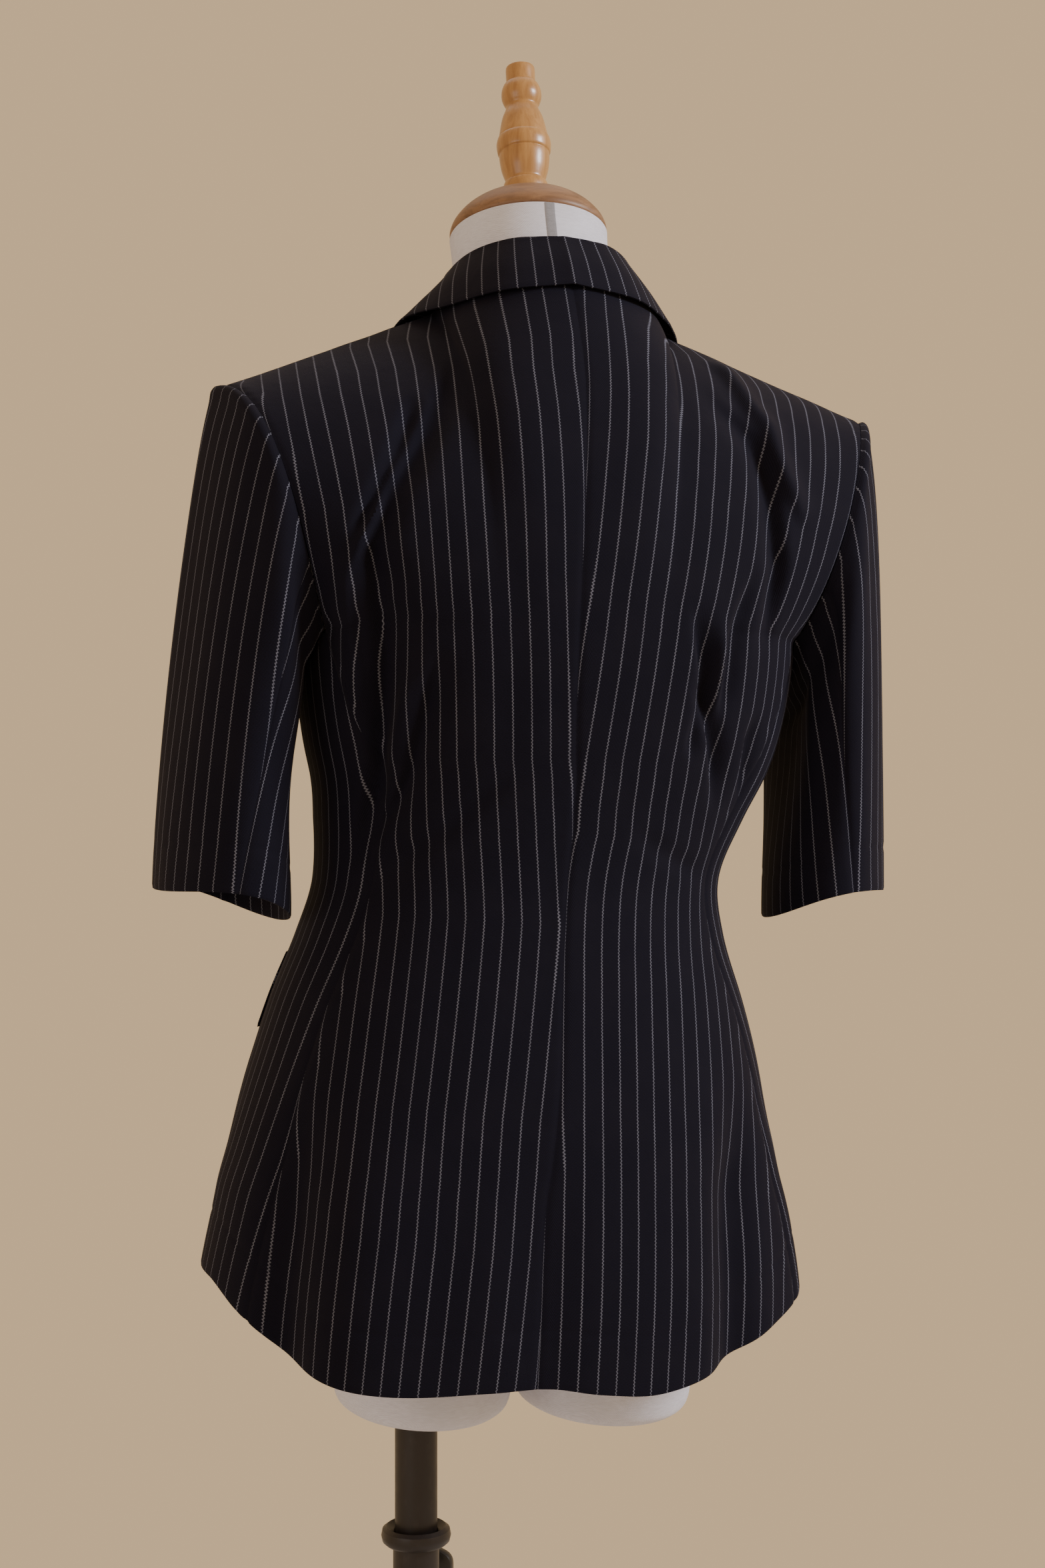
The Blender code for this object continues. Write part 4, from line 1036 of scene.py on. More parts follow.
def body_panel(name, surface, shares, levels, mirror, line, ease, finish,
               lift=None, open_edge=False):
    """One panel of the body; its slow surface is found at fewer places and read between them."""
    step = 3 if len(levels) > MANY_LEVELS else 1
    few_shares = np.append(shares[:-2:3], shares[-1])
    few_levels = np.append(levels[:-2:step], levels[-1])
    points, angles = surface_grid(surface, few_shares, few_levels, mirror)
    grid = np.concatenate([points, angles[..., None]], -1)
    grid = finer_grid(grid, few_levels, few_shares, levels, shares)
    points, angles = grid[..., :3], grid[..., 3]
    cut = cut_of(settled(points * np.array([mirror, 1.0, 1.0])), line)
    cut = eased(cut, ease)
    normal = normals_of(points)
    middle = np.stack([0.5 * points[..., 0], 0 * points[..., 0], points[..., 2] - 0.05], -1)
    if (normal * (points - middle)).sum(-1).mean() < 0:
        normal = -normal
    left, right, low, high = edge_distances(points)
    relief = body_relief(angles, points[..., 2])
    seam = dip(right, SEAM_WIDTH)
    if not open_edge:
        seam = seam + dip(left, SEAM_WIDTH)
    seam = seam + dip(high, SEAM_WIDTH)
    pucker = PUCKER_DEPTH * np.sin(points[..., 2] / PUCKER_PITCH * 2 * math.pi) * (
        dip(right, PUCKER_WIDTH) + dip(left, PUCKER_WIDTH))
    relief = relief - SEAM_DEPTH * seam + pucker
    relief = relief - STITCH_DEPTH * dip(low - HEM_DEPTH, STITCH_WIDTH)
    if lift:
        relief = relief + np.vectorize(lambda x, y, z: lift(Vector((x, y, z))))(
            points[..., 0], points[..., 1], points[..., 2])
    outer = points + normal * relief[..., None]
    facing = normals_of(outer)
    facing = facing * np.sign((facing * normal).sum(-1, keepdims=True))
    inner = outer - facing * CLOTH_WALL
    trim(outer, inner, facing, [0])
    dress(name, outer, inner, cut, finish, mirror)


# How far the grain of each piece is drawn aside: the places across the piece from which the
# amounts are read, then rows of the height along the grain and the amount in mm at each place.
GRAIN = ((0.5, 0.2), (0.5, 0.8))
EASE_LEFT = (
    (-0.080, -0.010, 0.045, 0.080),
    (
        (-0.150, 0.0, 0.0, -4.0, -8.0),
        (-0.060, 0.0, 0.0, -4.0, -8.0),
        (0.020, 3.5, 3.5, -1.0, -5.0),
        (0.140, 3.0, 3.0, -2.0, -5.0),
        (0.190, 8.0, 8.0, 4.0, 0.0),
        (0.240, 11.0, 11.0, 6.0, 3.0),
        (0.300, 10.0, 10.0, 4.0, 2.0),
        (0.350, 9.0, 10.0, 0.0, -0.5),
        (0.400, 6.0, 10.0, 2.5, 2.0),
        (0.455, 2.5, 9.5, 8.0, 10.5),
        (0.485, 1.5, 10.0, 11.5, 14.5),
        (0.510, -1.0, 11.0, 13.5, 17.0),
        (0.550, -2.0, 14.5, 19.5, 21.0),
    ),
)
EASE_RIGHT = (
    (-0.080, -0.045, -0.020, 0.050),
    (
        (-0.150, -12.5, -11.0, -11.0, -11.0),
        (-0.060, -6.5, -5.0, -5.0, -5.0),
        (0.020, -1.0, 0.5, 0.5, 0.5),
        (0.100, 6.0, 7.5, 7.5, 7.5),
        (0.190, 11.5, 13.0, 13.0, 13.0),
        (0.240, 6.0, 7.5, 7.5, 7.5),
        (0.290, 3.0, 4.5, 4.5, 4.5),
        (0.340, 0.5, 1.0, 2.0, -0.5),
        (0.410, -1.5, 0.5, 4.0, 3.0),
        (0.440, -2.0, 1.0, 6.5, 7.0),
        (0.470, -3.0, 0.0, 10.5, 12.0),
        (0.500, -5.0, 1.0, 15.0, 18.0),
        (0.530, -7.0, 5.0, 20.0, 26.0),
        (0.560, -8.0, 12.0, 27.0, 31.0),
    ),
)
EASE_NONE = ((-0.1, 0.1), ((-0.5, 0.0, 0.0), (0.9, 0.0, 0.0)))


def make_body(finish):
    lower = np.linspace(0.0, 1.0, 190)
    upper = np.concatenate([np.linspace(1.0, 1.975, 108)[1:], [1.980, 1.985, 1.990, 1.996, 2.0]])
    whole = np.concatenate([lower, upper])
    for side, mirror in (("left", 1), ("right", -1)):
        body_panel("back_" + side, back_surface, crowded(92, 0.19), whole, mirror, GRAIN,
                   EASE_LEFT if mirror == 1 else EASE_RIGHT, finish)
        body_panel("side_" + side, side_surface, crowded(44, 0.13), lower, mirror,
                   ((0.5, 0.1), (0.5, 0.9)), EASE_NONE, finish)
        fronts = np.concatenate([
            [0.0, 0.006, 0.012, 0.022], np.linspace(0.035, 0.95, 42), [0.967, 0.98, 0.99, 1.0]])
        levels = np.concatenate([lower[::2], upper[::2], [2.0]])
        body_panel("front_" + side, front_surface, fronts, levels, mirror,
                   ((0.35, 0.1), (0.35, 0.6)), EASE_NONE, finish,
                   lift=under_lap if mirror == 1 else None, open_edge=True)


def make_lapel_shells(finish):
    for side, mirror in (("left", 1), ("right", -1)):
        rows = []
        for climb in np.linspace(0.0, 1.0, 70):
            row = []
            for share in np.linspace(0.0, 1.0, 26):
                point, normal, _ = lapel_surface(float(share), float(climb), mirror)
                roll = LAPEL_ROLL * (1 - share) ** 2 * smooth_step((climb - 0.35) * 3)
                height = LAYER + 0.0008 + roll
                if mirror == 1:
                    height += under_lap(point)
                row.append(point + normal * height)
            rows.append(row)
        outer = np.array(rows)
        cut = cut_of(outer, ((0.9, 0.1), (0.9, 0.8)))
        normal = normals_of(outer)
        if normal[..., 1].mean() > 0:
            normal = -normal
        inner = outer - normal * CLOTH_WALL
        trim(outer, inner, normal, (np.s_[0], np.s_[-1], np.s_[:, -1]))
        dress("lapel_" + side, outer, inner, cut, finish, mirror)


def make_collar_shell(finish):
    rows = []
    for run in np.linspace(-1.0, 1.0, 161):
        section = collar_section(abs(float(run)))
        path = smooth_path([tuple(point) for point in section], 12)
        length = np.linalg.norm(np.diff(path, axis=0), axis=1)
        length = np.concatenate([[0.0], np.cumsum(length)])
        places = np.linspace(0.0, 1.0, 40) * length[-1]
        row = np.stack([np.interp(places, length, path[:, axis]) for axis in range(3)], -1)
        row[:, 0] *= -1.0 if run < 0 else 1.0
        rows.append(row)
    outer = np.array(rows)
    cut = cut_of(outer, ((0.55, 0.5), (0.95, 0.5)), rounds=600)
    normal = normals_of(outer)
    if normal[80, -5, 1] < 0:
        normal = -normal
    inner = outer - normal * CLOTH_WALL
    trim(outer, inner, normal, [np.s_[:, -1]])
    dress("collar", outer, inner, cut, finish)


# The creases of a sleeve: pairs of turn and drop, the depth, and the half width across and along.
SLEEVE_FOLDS = (
    (150.0, 0.055, 0.0030, 34.0, 0.055),
    (205.0, 0.055, 0.0034, 40.0, 0.055),
    (95.0, 0.30, 0.0022, 14.0, 0.16),
    (128.0, 0.34, -0.0016, 12.0, 0.22),
    (80.0, 0.62, -0.0018, 16.0, 0.18),
    (112.0, 0.78, 0.0014, 14.0, 0.16),
    (60.0, 0.22, -0.0030, 14.0, 0.10),
    (20.0, 0.20, -0.0035, 30.0, 0.05),
    (-20.0, 0.24, -0.0025, 30.0, 0.06),
    (175.0, 0.62, -0.0012, 22.0, 0.22),
)


def sleeve_relief(turn, drop, mirror):
    total = 0.0004 * ripple(np.radians(turn) * 0.055, drop * 0.33, 11 + mirror)
    for middle, place, depth, wide, long in SLEEVE_FOLDS:
        away = (turn - middle + 180.0) % 360.0 - 180.0
        total += depth * dip(away, wide) * dip(drop - place, long)
    return total


# The sewn sleeve head meets the body, where the solids stand a little apart.
ARMHOLE_CLOSING = 0.0015
CLOSING_DROP = 0.03


def make_sleeve_shells(finish):
    under_share = np.concatenate([
        [0.0, 0.35, 0.9], np.linspace(1.6, 30.4, 36), [31.1, 31.65, 32.0]]) / 32.0
    under = -SEAM_TURN + 2 * SEAM_TURN * under_share
    top_share = np.concatenate([
        [0.0, 0.2, 0.5], np.linspace(1.0, 55.0, 64), [55.5, 55.8, 56.0]]) / 56.0
    top = SEAM_TURN + (360.0 - 2 * SEAM_TURN) * top_share
    whole = np.concatenate([under, top[1:-1]])
    drops = np.concatenate([[0.0, 0.005, 0.012], np.linspace(0.022, 0.985, 82), [0.992, 1.0]])
    for side, mirror in (("left", 1), ("right", -1)):
        rows = []
        turns = []
        for drop in drops:
            ring = seam_turns(float(drop), [float(turn) for turn in whole])
            rows.append([sleeve_surface(place, float(drop), turn, mirror) for turn, place in ring])
            turns.append([place for turn, place in ring])
        points = np.array(rows)
        points[..., 0] -= ARMHOLE_CLOSING * smooth(1.0 - drops / CLOSING_DROP)[:, None]
        places = np.array(turns)
        normal = normals_of(points, closed=True)
        middle = points.mean(1, keepdims=True)
        if (normal * (points - middle)).sum(-1)[len(drops) // 2].mean() < 0:
            normal = -normal
        down = edge_distances(points)[2]
        relief = sleeve_relief(places, np.repeat(drops[:, None], len(whole), 1), mirror)
        relief = relief * smooth(down / 0.012)
        relief = relief - 0.0008 * dip(down, SEAM_WIDTH)
        up_from_hem = down[-1:] - down
        relief = relief - STITCH_DEPTH * dip(up_from_hem - SLEEVE_HEM_DEPTH, STITCH_WIDTH)
        for seam in (0, len(under) - 1):
            steps = np.linalg.norm(points - points[:, seam:seam + 1], axis=2)
            relief = relief - SEAM_DEPTH * dip(steps, SEAM_WIDTH)
        outer = points + normal * relief[..., None]
        facing = normals_of(outer, closed=True)
        facing = facing * np.sign((facing * normal).sum(-1, keepdims=True))
        inner = outer - facing * CLOTH_WALL
        trim(outer, inner, facing, [-1])
        top_columns = list(range(len(under) - 1, len(whole))) + [0]
        under_columns = list(range(len(under)))
        for prefix, columns in (("sleeve_top_", top_columns), ("sleeve_under_", under_columns)):
            cut = cut_of(points[:, columns], ((0.5, 0.9), (0.5, 0.3)))
            dress(prefix + side, outer[:, columns], inner[:, columns], cut, finish,
                  mirror, False)


def make_flap_shells(finish):
    for side, mirror in (("left", 1), ("right", -1)):
        rows = []
        for down in np.linspace(0.0, 1.0, 22):
            row = []
            for share in np.linspace(0.0, 1.0, 46):
                angle = mix(FLAP_ANGLES[0], FLAP_ANGLES[1], share)
                z = FLAP_TOP_Z - FLAP_DEPTH * down - FLAP_DROP * (1 - share)
                height = LAYER + FLAP_FLARE * down * (1 - share) ** 4
                row.append(ring_point(angle, z) + ring_normal(angle, z) * height)
            rows.append(row)
        outer = np.array(rows)
        cut = cut_of(outer, ((0.5, 0.9), (0.5, 0.1)), 3, 4)
        normal = normals_of(outer)
        if normal[..., 0].mean() < 0:
            normal = -normal
        inner = outer - normal * CLOTH_WALL
        trim(outer, inner, normal, (np.s_[-1], np.s_[:, 0], np.s_[:, -1]))
        dress("pocket_flap_" + side, outer, inner, cut, finish,
              mirror)


# --- hard parts ----------------------------------------------------------------------------------
UP = Vector((0.0, 0.0, 1.0))
HARD_SHARP = 38
# How far the hard parts' edges are chamfered, and what sits on a face stands off it.
EDGE = 0.0004


def round_solid(name, rings, finish, closed=False, body=None, instead=None, slot=None):
    """A solid through a stack of rings, capped at both ends or closed on itself."""
    rings = np.array(rings)
    steps, count = rings.shape[:2]
    corner = np.arange(steps * count).reshape(steps, count)
    below, above = (corner, np.roll(corner, -1, axis=0)) if closed else (corner[:-1], corner[1:])
    quads = np.stack([below, np.roll(below, -1, 1), np.roll(above, -1, 1), above], -1)
    quads = quads.reshape(-1, 4).tolist()
    if not closed:
        quads.append(corner[0, ::-1].tolist())
        quads.append(corner[-1].tolist())
    made = solid(name, rings.reshape(-1, 3), quads, finish, HARD_SHARP)
    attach(made, body)
    if instead:
        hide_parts(instead)
    return made


def around(base, turn, radius, angle, height):
    """A place beside a turned axis, as far out and as high along it as given."""
    out = Vector((radius * math.cos(angle), radius * math.sin(angle), height))
    return tuple(base + turn @ out)


def lathe(name, profile, base, axis, segments, finish, closed=False, **facts):
    """A turned solid: the profile's columns are the radius and the distance along the axis."""
    turn = UP.rotation_difference(axis)
    rings = [
        [around(base, turn, radius, 2 * math.pi * step / segments, height)
         for step in range(segments)]
        for radius, height in profile
    ]
    return round_solid(name, rings, finish, closed, **facts)


def form_ring(z, count):
    half_width, back, front, centre_y, squareness, tilt = read_table(FORM_RINGS, z)
    ring = []
    for step in range(count):
        angle = 2 * math.pi * step / count
        sine = math.sin(angle)
        cosine = math.cos(angle)
        depth = back if cosine > 0 else front
        x = half_width * math.copysign(abs(sine) ** (2 / squareness), sine)
        y = depth * math.copysign(abs(cosine) ** (2 / squareness), cosine)
        ring.append((x, centre_y + y, z + tilt * y))
    return ring


# The finial's turned outline: the radius and the height.
FINIAL_TURNING = (
    (0.0142, 0.0000),
    (0.0149, 0.0004),
    (0.0156, 0.0030),
    (0.0158, 0.0070),
    (0.0152, 0.0106),
    (0.0141, 0.0121),
    (0.0136, 0.0130),
    (0.0146, 0.0160),
    (0.0164, 0.0220),
    (0.0174, 0.0290),
    (0.0175, 0.0325),
    (0.0174, 0.0336),
    (0.0184, 0.0348),
    (0.0190, 0.0385),
    (0.0190, 0.0415),
    (0.0182, 0.0448),
    (0.0173, 0.0460),
    (0.0171, 0.0472),
    (0.0166, 0.0500),
    (0.0145, 0.0600),
    (0.0119, 0.0665),
    (0.0112, 0.0690),
    (0.0114, 0.0702),
    (0.0126, 0.0722),
    (0.0138, 0.0755),
    (0.0141, 0.0785),
    (0.0137, 0.0820),
    (0.0122, 0.0858),
    (0.0106, 0.0876),
    (0.0102, 0.0886),
    (0.0103, 0.0960),
    (0.0101, 0.0990),
    (0.0094, 0.0996),
)


def make_form(cover, tape, cap_wood, turned_wood):
    heights = np.concatenate([
        np.linspace(FORM_RINGS[0][0], 0.80, 24)[:-1], np.linspace(0.80, 1.29, 56)[:-1],
        np.linspace(1.29, 1.42, 40)[:-1], np.linspace(1.42, FORM_RINGS[-1][0], 24)])
    rings = settled(np.array([form_ring(float(z), 128) for z in heights]))
    round_solid("form_cover", rings, cover, body="form", instead="form_torso", slot="form_cover")
    for side, (x, bottom) in zip(("left", "right"), STUBS):
        rows = smooth_path(STUB_RINGS, 6)
        turns = np.linspace(0.0, 2 * math.pi, 72, endpoint=False)
        rings = []
        for height, half_width, half_depth in rows:
            rings.append(np.stack([x + half_width * np.cos(turns), half_depth * np.sin(turns),
                                   np.full(72, bottom + height)], -1))
        round_solid("thigh_" + side, settled(np.array(rings)), cover, body="form",
                    instead="form_torso", slot="form_cover")

    strip = []
    for z in np.linspace(1.4445, 1.4868, 16):
        half_width, back, _, centre_y, _, tilt = read_table(FORM_RINGS, float(z))
        row = []
        for across in np.linspace(-0.0034, 0.0034, 8):
            y = centre_y + back * math.sqrt(1 - (across / half_width) ** 2)
            edge = 0.00045 if abs(across) < 0.003 else 0.0002
            row.append((across, y + edge, z + tilt * (y - centre_y)))
        strip.append(row)
    strip = np.array(strip)
    ring = np.concatenate([strip, strip[:, ::-1] - np.array([0.0, 0.0010, 0.0])], axis=1)
    round_solid("neck_tape", settled(ring), tape, body="form", slot="form_cover")

    top = Vector((0.0, FORM_RINGS[-1][4], FORM_RINGS[-1][0]))
    axis = Vector((0.0, -math.sin(NECK_TILT), math.cos(NECK_TILT)))
    axis = lean(LEAN_PIVOT + axis) - LEAN_PIVOT
    base = lean(sway(top)) + axis * EDGE
    lathe("cap_of_wood", smooth_path(CAP_PROFILE, 4), base, axis, 96, cap_wood,
          body="form", instead="neck_cap", slot="cap_wood")
    base = base + axis * (CAP_PROFILE[-1][1] + SEAM_GAP)
    lathe("finial_turned", smooth_path(FINIAL_TURNING, 3), base, axis, 64, turned_wood,
          body="form", instead="finial", slot="turned_wood")


def make_stand(steel, black):
    def turned(name, profile, base, axis, segments, node, closed=True, body="stand"):
        lathe(name, profile, base, axis, segments, steel, closed,
              body=body, instead=node, slot="stand_steel")

    foot = Vector((TUBE_X, 0.0, 0.0))
    turned("base_plate_turned", BASE_PROFILE, Vector(), UP, 128, "base_plate", False)
    top = BASE_PROFILE[-1][1] + SEAM_GAP
    turned("base_socket_turned", SOCKET_PROFILE, foot + UP * top, UP, 72, "base_socket")
    lower = (
        (LOWER_BORE, top), (LOWER_RADIUS, top), (LOWER_RADIUS, LOWER_TOP_Z - EDGE),
        (LOWER_RADIUS - EDGE, LOWER_TOP_Z), (LOWER_BORE, LOWER_TOP_Z),
    )
    turned("lower_tube_drawn", lower, foot, UP, 64, "lower_tube")
    upper = ((UPPER_RADIUS, UPPER_BOTTOM_Z), (UPPER_RADIUS, UPPER_TOP_Z - EDGE),
             (UPPER_RADIUS - EDGE, UPPER_TOP_Z))
    turned("upper_tube_drawn", upper, foot, UP, 64, "upper_tube", False, "riser")
    ring_base = foot + UP * (LOWER_TOP_Z + SEAM_GAP)
    turned("clamp_ring_turned", RING_PROFILE, ring_base, UP, 72, "clamp_ring")
    out = Vector((-math.sin(BOSS_TURN), -math.cos(BOSS_TURN), 0.0))
    boss = foot + UP * BOSS_Z + out * (LOWER_RADIUS + SEAM_GAP)
    profile = ((BOSS_BORE, 0.0), (BOSS_RADIUS, 0.0), (BOSS_RADIUS, BOSS_LENGTH - EDGE),
               (BOSS_RADIUS - EDGE, BOSS_LENGTH), (BOSS_BORE, BOSS_LENGTH))
    turned("clamp_boss_turned", profile, boss, out, 48, "clamp_boss")
    make_knob(boss + out * (BOSS_LENGTH + SEAM_GAP), out, black)


def make_knob(base, out, black):
    turn = UP.rotation_difference(out)
    rows = (
        (0.0032, -0.0060, 0.0), (0.0032, 0.0, 0.0), (0.0090, 0.0, 0.0), (0.0108, 0.0014, 0.2),
        (KNOB_RADIUS - 0.0030, 0.0018, 1.0), (KNOB_RADIUS - 0.0008, 0.0028, 1.0),
        (KNOB_RADIUS, 0.0044, 1.0), (KNOB_RADIUS, 0.0090, 1.0),
        (KNOB_RADIUS - 0.0010, 0.0106, 1.0), (KNOB_RADIUS - 0.0032, 0.0115, 1.0),
        (0.0100, 0.0115, 0.3), (0.0090, 0.0108, 0.0),
    )
    rings = []
    for radius, height, lobed in rows:
        ring = []
        for step in range(120):
            angle = 2 * math.pi * step / 120
            reach = radius - lobed * KNOB_GROOVE * (1 - math.cos(KNOB_LOBES * angle)) * 0.5
            ring.append(around(base, turn, reach, angle, height))
        rings.append(ring)
    round_solid("knob_of_clamp", rings, black, body="knob", instead="clamp_knob", slot="knob")


def make_buttons(finish):
    for number, z in enumerate(BUTTON_HEIGHTS, 1):
        normal = ring_normal(180.0, z)
        base = lean(sway(ring_point(180.0, z) + normal * 0.0008))
        made = lathe("sewn_button_" + str(number), smooth_path(BUTTON_PROFILE, 4), base, normal,
                     56, finish, body="form", instead="button_" + str(number), slot="button")
        turn = UP.rotation_difference(normal)
        for hole in range(4):
            angle = math.radians(45 + 90 * hole)
            spot = Vector(around(base, turn, HOLE_REACH, angle, EDGE))
            drill = lathe("drill", ((HOLE_RADIUS, 0.0), (HOLE_RADIUS, 0.004)), spot, normal,
                          16, finish, body="form")
            cutter = made.modifiers.new("hole", "BOOLEAN")
            cutter.operation = "DIFFERENCE"
            cutter.object = drill
            bpy.context.view_layer.objects.active = made
            bpy.ops.object.modifier_apply(modifier=cutter.name)
            bpy.data.objects.remove(drill, do_unlink=True)


# --- materials -----------------------------------------------------------------------------------
class Finish:
    """A material with short calls for its nodes."""

    def __init__(self, name):
        self.made = bpy.data.materials.new(name)
        self.made.use_nodes = True
        self.tree = self.made.node_tree
        self.shader = self.tree.nodes["Principled BSDF"]

    def put(self, target, value):
        if isinstance(value, bpy.types.NodeSocket):
            self.tree.links.new(value, target)
        else:
            target.default_value = value

    def set(self, **values):
        for key, value in values.items():
            self.put(self.shader.inputs[key.replace("_", " ")], value)

    def math(self, operation, first, second=0.0, third=0.0):
        made = self.tree.nodes.new("ShaderNodeMath")
        made.operation = operation
        for target, value in zip(made.inputs, (first, second, third)):
            self.put(target, value)
        return made.outputs[0]

    def ramp(self, value, low, high, to_low=0.0, to_high=1.0):
        made = self.tree.nodes.new("ShaderNodeMapRange")
        made.interpolation_type = "SMOOTHSTEP"
        for key, number in (("Value", value), ("From Min", low), ("From Max", high),
                            ("To Min", to_low), ("To Max", to_high)):
            self.put(made.inputs[key], number)
        return made.outputs[0]

    def wave(self, value, length):
        """A sine of a value in metres, from -1 to 1 and back over a length."""
        return self.math("SINE", self.math("MULTIPLY", value, 2 * math.pi / length))

    def mixed(self, share, first, second):
        made = self.tree.nodes.new("ShaderNodeMix")
        made.data_type = "RGBA"
        # Sockets 6 and 7 are the two colours, and output 2 the mixed one.
        for target, value in ((0, share), (6, first), (7, second)):
            self.put(made.inputs[target], value)
        return made.outputs[2]

    def place(self, scale=(1.0, 1.0, 1.0)):
        where = self.tree.nodes.new("ShaderNodeTexCoord")
        made = self.tree.nodes.new("ShaderNodeMapping")
        self.put(made.inputs["Vector"], where.outputs["Object"])
        made.inputs["Scale"].default_value = scale
        return made.outputs[0]

    def noise(self, vector, scale, detail=3.0, rough=0.55, warp=0.0):
        made = self.tree.nodes.new("ShaderNodeTexNoise")
        for key, value in (("Vector", vector), ("Scale", scale), ("Detail", detail),
                           ("Roughness", rough), ("Distortion", warp)):
            self.put(made.inputs[key], value)
        return made.outputs["Fac"]

    def bump(self, height, distance, strength=1.0, under=None):
        made = self.tree.nodes.new("ShaderNodeBump")
        self.put(made.inputs["Height"], height)
        made.inputs["Distance"].default_value = distance
        made.inputs["Strength"].default_value = strength
        if under:
            self.put(made.inputs["Normal"], under)
        return made.outputs[0]


STRIPE_PITCH = 0.0117
STRIPE_HALF = 0.00038
STITCH_LENGTH = 0.0021
STITCH_SLANT = 0.00030
TWILL_PITCH = 0.00085


def pinstripe():
    cloth = Finish("pinstripe worsted")
    cut = cloth.tree.nodes.new("ShaderNodeAttribute")
    cut.attribute_name = "cut"
    split = cloth.tree.nodes.new("ShaderNodeSeparateXYZ")
    cloth.put(split.inputs[0], cut.outputs["Vector"])
    across = split.outputs[0]
    along = split.outputs[1]

    # The stripe is a row of small slanted stitches of pale yarn.
    stitch = cloth.wave(along, STITCH_LENGTH)
    slid = cloth.math("MULTIPLY_ADD", stitch, STITCH_SLANT, across)
    gap = cloth.math("PINGPONG", slid, STRIPE_PITCH / 2)
    stripe = cloth.ramp(gap, STRIPE_HALF - 0.00022, STRIPE_HALF + 0.00012, 1.0, 0.0)
    beat = cloth.wave(along, STITCH_LENGTH / 2)
    beat = cloth.math("MULTIPLY_ADD", beat, 0.18, 0.80)
    worn = cloth.noise(cut.outputs["Vector"], 60.0, 2.0)
    worn = cloth.ramp(worn, 0.25, 0.65, 0.72, 1.0)
    stripe = cloth.math("MULTIPLY", cloth.math("MULTIPLY", stripe, beat), worn)

    # Fine twill: ribs that climb at 63 degrees, and yarns of slightly different shades.
    ribs = cloth.math("MULTIPLY_ADD", along, 0.45, across)
    ribs = cloth.wave(ribs, TWILL_PITCH)
    yarn = cloth.noise(cut.outputs["Vector"], 1500.0, 2.0)
    patch = cloth.noise(cut.outputs["Vector"], 26.0, 3.0)
    shade = cloth.ramp(cloth.math("MULTIPLY_ADD", ribs, 0.10, yarn), 0.30, 0.75)
    ground = cloth.mixed(shade, (0.0030, 0.0029, 0.0078, 1), (0.0070, 0.0067, 0.0155, 1))
    faded = cloth.ramp(patch, 0.35, 0.75, 0.0, 0.30)
    ground = cloth.mixed(faded, ground, (0.0090, 0.0080, 0.0150, 1))
    colour = cloth.mixed(stripe, ground, (0.150, 0.158, 0.210, 1))
    relief = cloth.math("MULTIPLY_ADD", ribs, 0.5, cloth.math("MULTIPLY", yarn, 1.2))
    relief = cloth.math("MULTIPLY_ADD", stripe, 1.2, relief)
    fine = cloth.bump(relief, 0.00012, 0.55)
    soft = cloth.bump(cloth.noise(cut.outputs["Vector"], 70.0, 2.0), 0.0012, 0.30, fine)
    cloth.set(Base_Color=colour, Roughness=cloth.ramp(yarn, 0.3, 0.7, 0.80, 0.94), Normal=soft,
              Sheen_Weight=0.035, Sheen_Roughness=0.5, Sheen_Tint=(0.75, 0.68, 0.80, 1.0),
              Specular_IOR_Level=0.10)
    return cloth.made


def cotton(name, light, dark, weave=0.0009):
    cover = Finish(name)
    where = cover.place()
    split = cover.tree.nodes.new("ShaderNodeSeparateXYZ")
    cover.put(split.inputs[0], where)
    warp = cover.wave(cover.math("ADD", split.outputs[0], split.outputs[1]), weave)
    weft = cover.wave(split.outputs[2], weave)
    threads = cover.math("MULTIPLY", warp, weft)
    slub = cover.noise(cover.place((1.0, 1.0, 6.0)), 180.0, 3.0)
    stain = cover.noise(where, 9.0, 4.0, 0.6, 0.4)
    tone = cover.math("MULTIPLY_ADD", slub, 0.5, cover.math("MULTIPLY", stain, 0.7))
    tone = cover.math("MULTIPLY_ADD", threads, 0.10, tone)
    colour = cover.mixed(cover.ramp(tone, 0.35, 0.80), dark, light)
    height = cover.math("MULTIPLY_ADD", threads, 0.5, slub)
    fine = cover.bump(height, 0.00016, 0.6)
    soft = cover.bump(cover.noise(where, 34.0, 2.0), 0.0012, 0.25, fine)
    cover.set(Base_Color=colour, Roughness=cover.ramp(slub, 0.3, 0.7, 0.84, 0.95), Normal=soft,
              Sheen_Weight=0.12, Sheen_Roughness=0.5, Specular_IOR_Level=0.25)
    return cover.made


def wood(name, light, dark, deep, stretch, scale, gloss, coat):
    grain = Finish(name)
    where = grain.place(stretch)
    fibres = grain.noise(where, scale, 6.0, 0.62, 0.9)
    drawn = grain.place((stretch[0] * 6, stretch[1] * 6, stretch[2] * 1.5))
    pores = grain.noise(drawn, scale * 3.0, 3.0)
    cloud = grain.noise(grain.place(), 22.0, 3.0, 0.6, 0.5)
    colour = grain.mixed(grain.ramp(fibres, 0.32, 0.68), dark, light)
    colour = grain.mixed(grain.ramp(pores, 0.60, 0.75, 0.0, 0.65), colour, deep)
    colour = grain.mixed(grain.ramp(cloud, 0.55, 0.85, 0.0, 0.45), colour, deep)
    bumped = grain.bump(grain.math("MULTIPLY_ADD", pores, -0.7, fibres), 0.00018, 0.35)
    grain.set(Base_Color=colour, Roughness=grain.ramp(fibres, 0.3, 0.7, gloss + 0.06, gloss + 0.16),
              Normal=bumped, Coat_Weight=coat, Coat_Roughness=gloss * 0.8)
    return grain.made


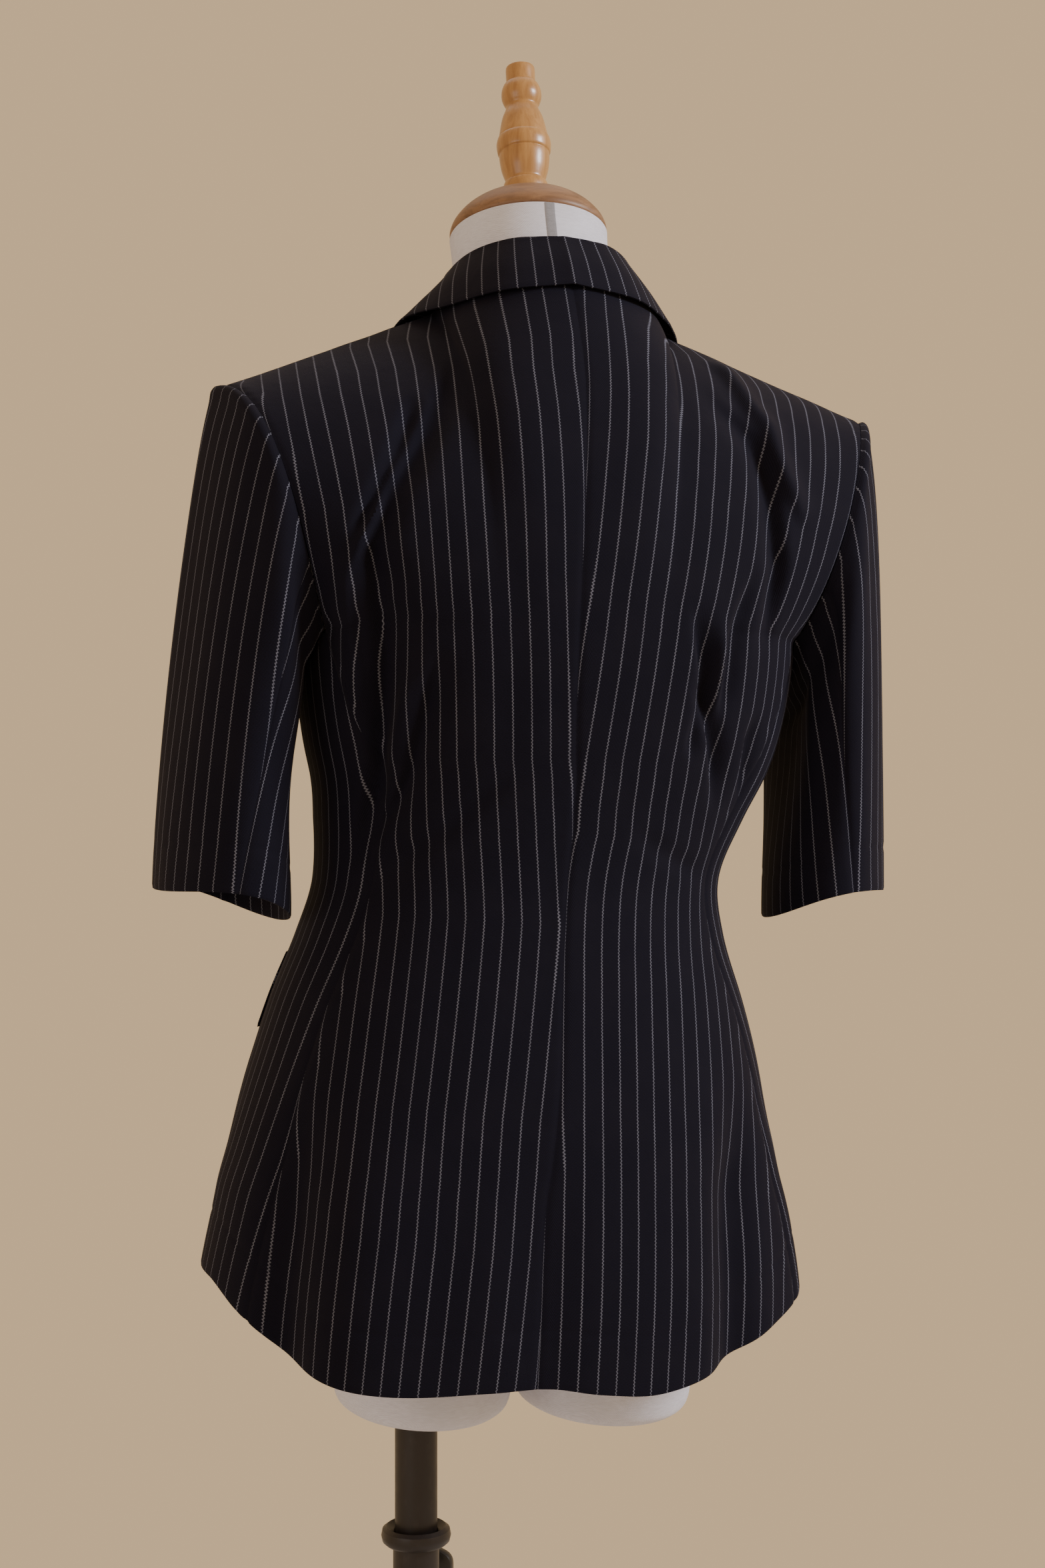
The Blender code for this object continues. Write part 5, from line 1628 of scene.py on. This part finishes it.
def painted_steel():
    steel = Finish("painted steel")
    where = steel.place()
    mottle = steel.noise(where, 120.0, 4.0)
    streak = steel.noise(steel.place((1.0, 1.0, 0.04)), 260.0, 3.0)
    wear = steel.ramp(steel.math("MULTIPLY_ADD", streak, 0.6, mottle), 0.80, 1.15, 0.0, 0.35)
    colour = steel.mixed(wear, (0.022, 0.018, 0.018, 1), (0.050, 0.042, 0.040, 1))
    steel.set(Base_Color=colour, Roughness=steel.ramp(mottle, 0.3, 0.7, 0.40, 0.48), Metallic=0.35,
              Normal=steel.bump(mottle, 0.0001, 0.10), Coat_Weight=0.10, Coat_Roughness=0.35)
    return steel.made


def moulded(name, colour, roughness):
    part = Finish(name)
    pebble = part.noise(part.place(), 1400.0, 2.0)
    cloud = part.noise(part.place(), 60.0, 3.0)
    pale = tuple(min(value * 2.2, 1.0) for value in colour[:3]) + (1.0,)
    part.set(Base_Color=part.mixed(part.ramp(cloud, 0.4, 0.8, 0.0, 0.4), colour, pale),
             Roughness=part.ramp(cloud, 0.3, 0.7, roughness, roughness + 0.14),
             Normal=part.bump(pebble, 0.00008, 0.4))
    return part.made


# --- stage, camera and lights --------------------------------------------------------------------
def make_stage():
    floor = Finish("pale floor")
    grit = floor.noise(floor.place(), 220.0, 4.0)
    floor.set(Base_Color=floor.mixed(grit, (0.60, 0.57, 0.53, 1), (0.66, 0.63, 0.58, 1)),
              Roughness=0.85, Normal=floor.bump(grit, 0.0003, 0.3))
    shape = bmesh.new()
    bmesh.ops.create_circle(shape, cap_ends=True, radius=1.55, segments=128)
    mesh = bpy.data.meshes.new("floor")
    shape.to_mesh(mesh)
    shape.free()
    mesh.materials.append(floor.made)
    made = linked("floor", mesh)
    made.location = (0.0, 0.0, -0.0004)


def aim(thing, target):
    thing.rotation_euler = (Vector(target) - thing.location).to_track_quat("-Z", "Y").to_euler()


def area_light(name, place, target, size, power, colour):
    data = bpy.data.lights.new(name, "AREA")
    data.shape = "RECTANGLE"
    data.size = data.size_y = size
    data.energy = power
    data.color = colour
    made = linked(name, data)
    made.location = place
    aim(made, target)


# The camera looks at the back from a little to the wearer's left.
CAMERA_TURN = math.radians(15)
CAMERA_DISTANCE = 1.45
CAMERA_HEIGHT = 1.11
CAMERA_STEP = 0.0136


def make_camera():
    data = bpy.data.cameras.new("camera")
    data.lens = 50.0
    data.sensor_width = 36.0
    data.sensor_fit = "AUTO"
    made = linked("camera", data)
    back = Vector((math.sin(CAMERA_TURN), math.cos(CAMERA_TURN), 0.0))
    right = Vector((-math.cos(CAMERA_TURN), math.sin(CAMERA_TURN), 0.0))
    made.location = back * CAMERA_DISTANCE + right * CAMERA_STEP + UP * CAMERA_HEIGHT
    made.rotation_euler = (-back).to_track_quat("-Z", "Y").to_euler()
    bpy.context.scene.camera = made


LIGHT_COLOUR = (0.90, 0.93, 1.0)


def make_lights():
    world = bpy.data.worlds.new("room")
    world.use_nodes = True
    shade = world.node_tree.nodes["Background"]
    shade.inputs["Color"].default_value = (0.98, 0.69, 0.395, 1.0)
    shade.inputs["Strength"].default_value = 0.72
    bpy.context.scene.world = world
    for name, place, height, size, power in (
        ("key", (-2.1, 1.2, 2.3), 1.15, 0.7, 75.0),
        ("fill", (1.9, 1.5, 1.3), 1.1, 1.4, 10.0),
        ("top", (0.0, -0.6, 3.0), 1.2, 1.6, 6.0),
    ):
        area_light(name, place, (0.0, 0.0, height), size, power, LIGHT_COLOUR)


def build():
    cloth = pinstripe()
    make_body(cloth)
    make_lapel_shells(cloth)
    make_collar_shell(cloth)
    make_sleeve_shells(cloth)
    make_flap_shells(cloth)
    make_buttons(moulded("button horn", (0.012, 0.010, 0.010, 1.0), 0.22))
    make_form(
        cotton("form cover", (0.70, 0.71, 0.82, 1), (0.56, 0.56, 0.64, 1)),
        cotton("seam tape", (0.30, 0.30, 0.33, 1), (0.19, 0.19, 0.21, 1), 0.0006),
        wood("cap wood", (0.27, 0.145, 0.072, 1), (0.16, 0.078, 0.036, 1),
             (0.07, 0.031, 0.014, 1), (1.0, 4.0, 9.0), 22.0, 0.42, 0.10),
        wood("turned wood", (0.46, 0.245, 0.085, 1), (0.35, 0.170, 0.054, 1),
             (0.17, 0.075, 0.022, 1), (6.0, 6.0, 0.6), 34.0, 0.24, 0.30),
    )
    make_stand(painted_steel(), moulded("black plastic", (0.012, 0.012, 0.012, 1.0), 0.34))
    make_stage()
    make_camera()
    make_lights()


build()
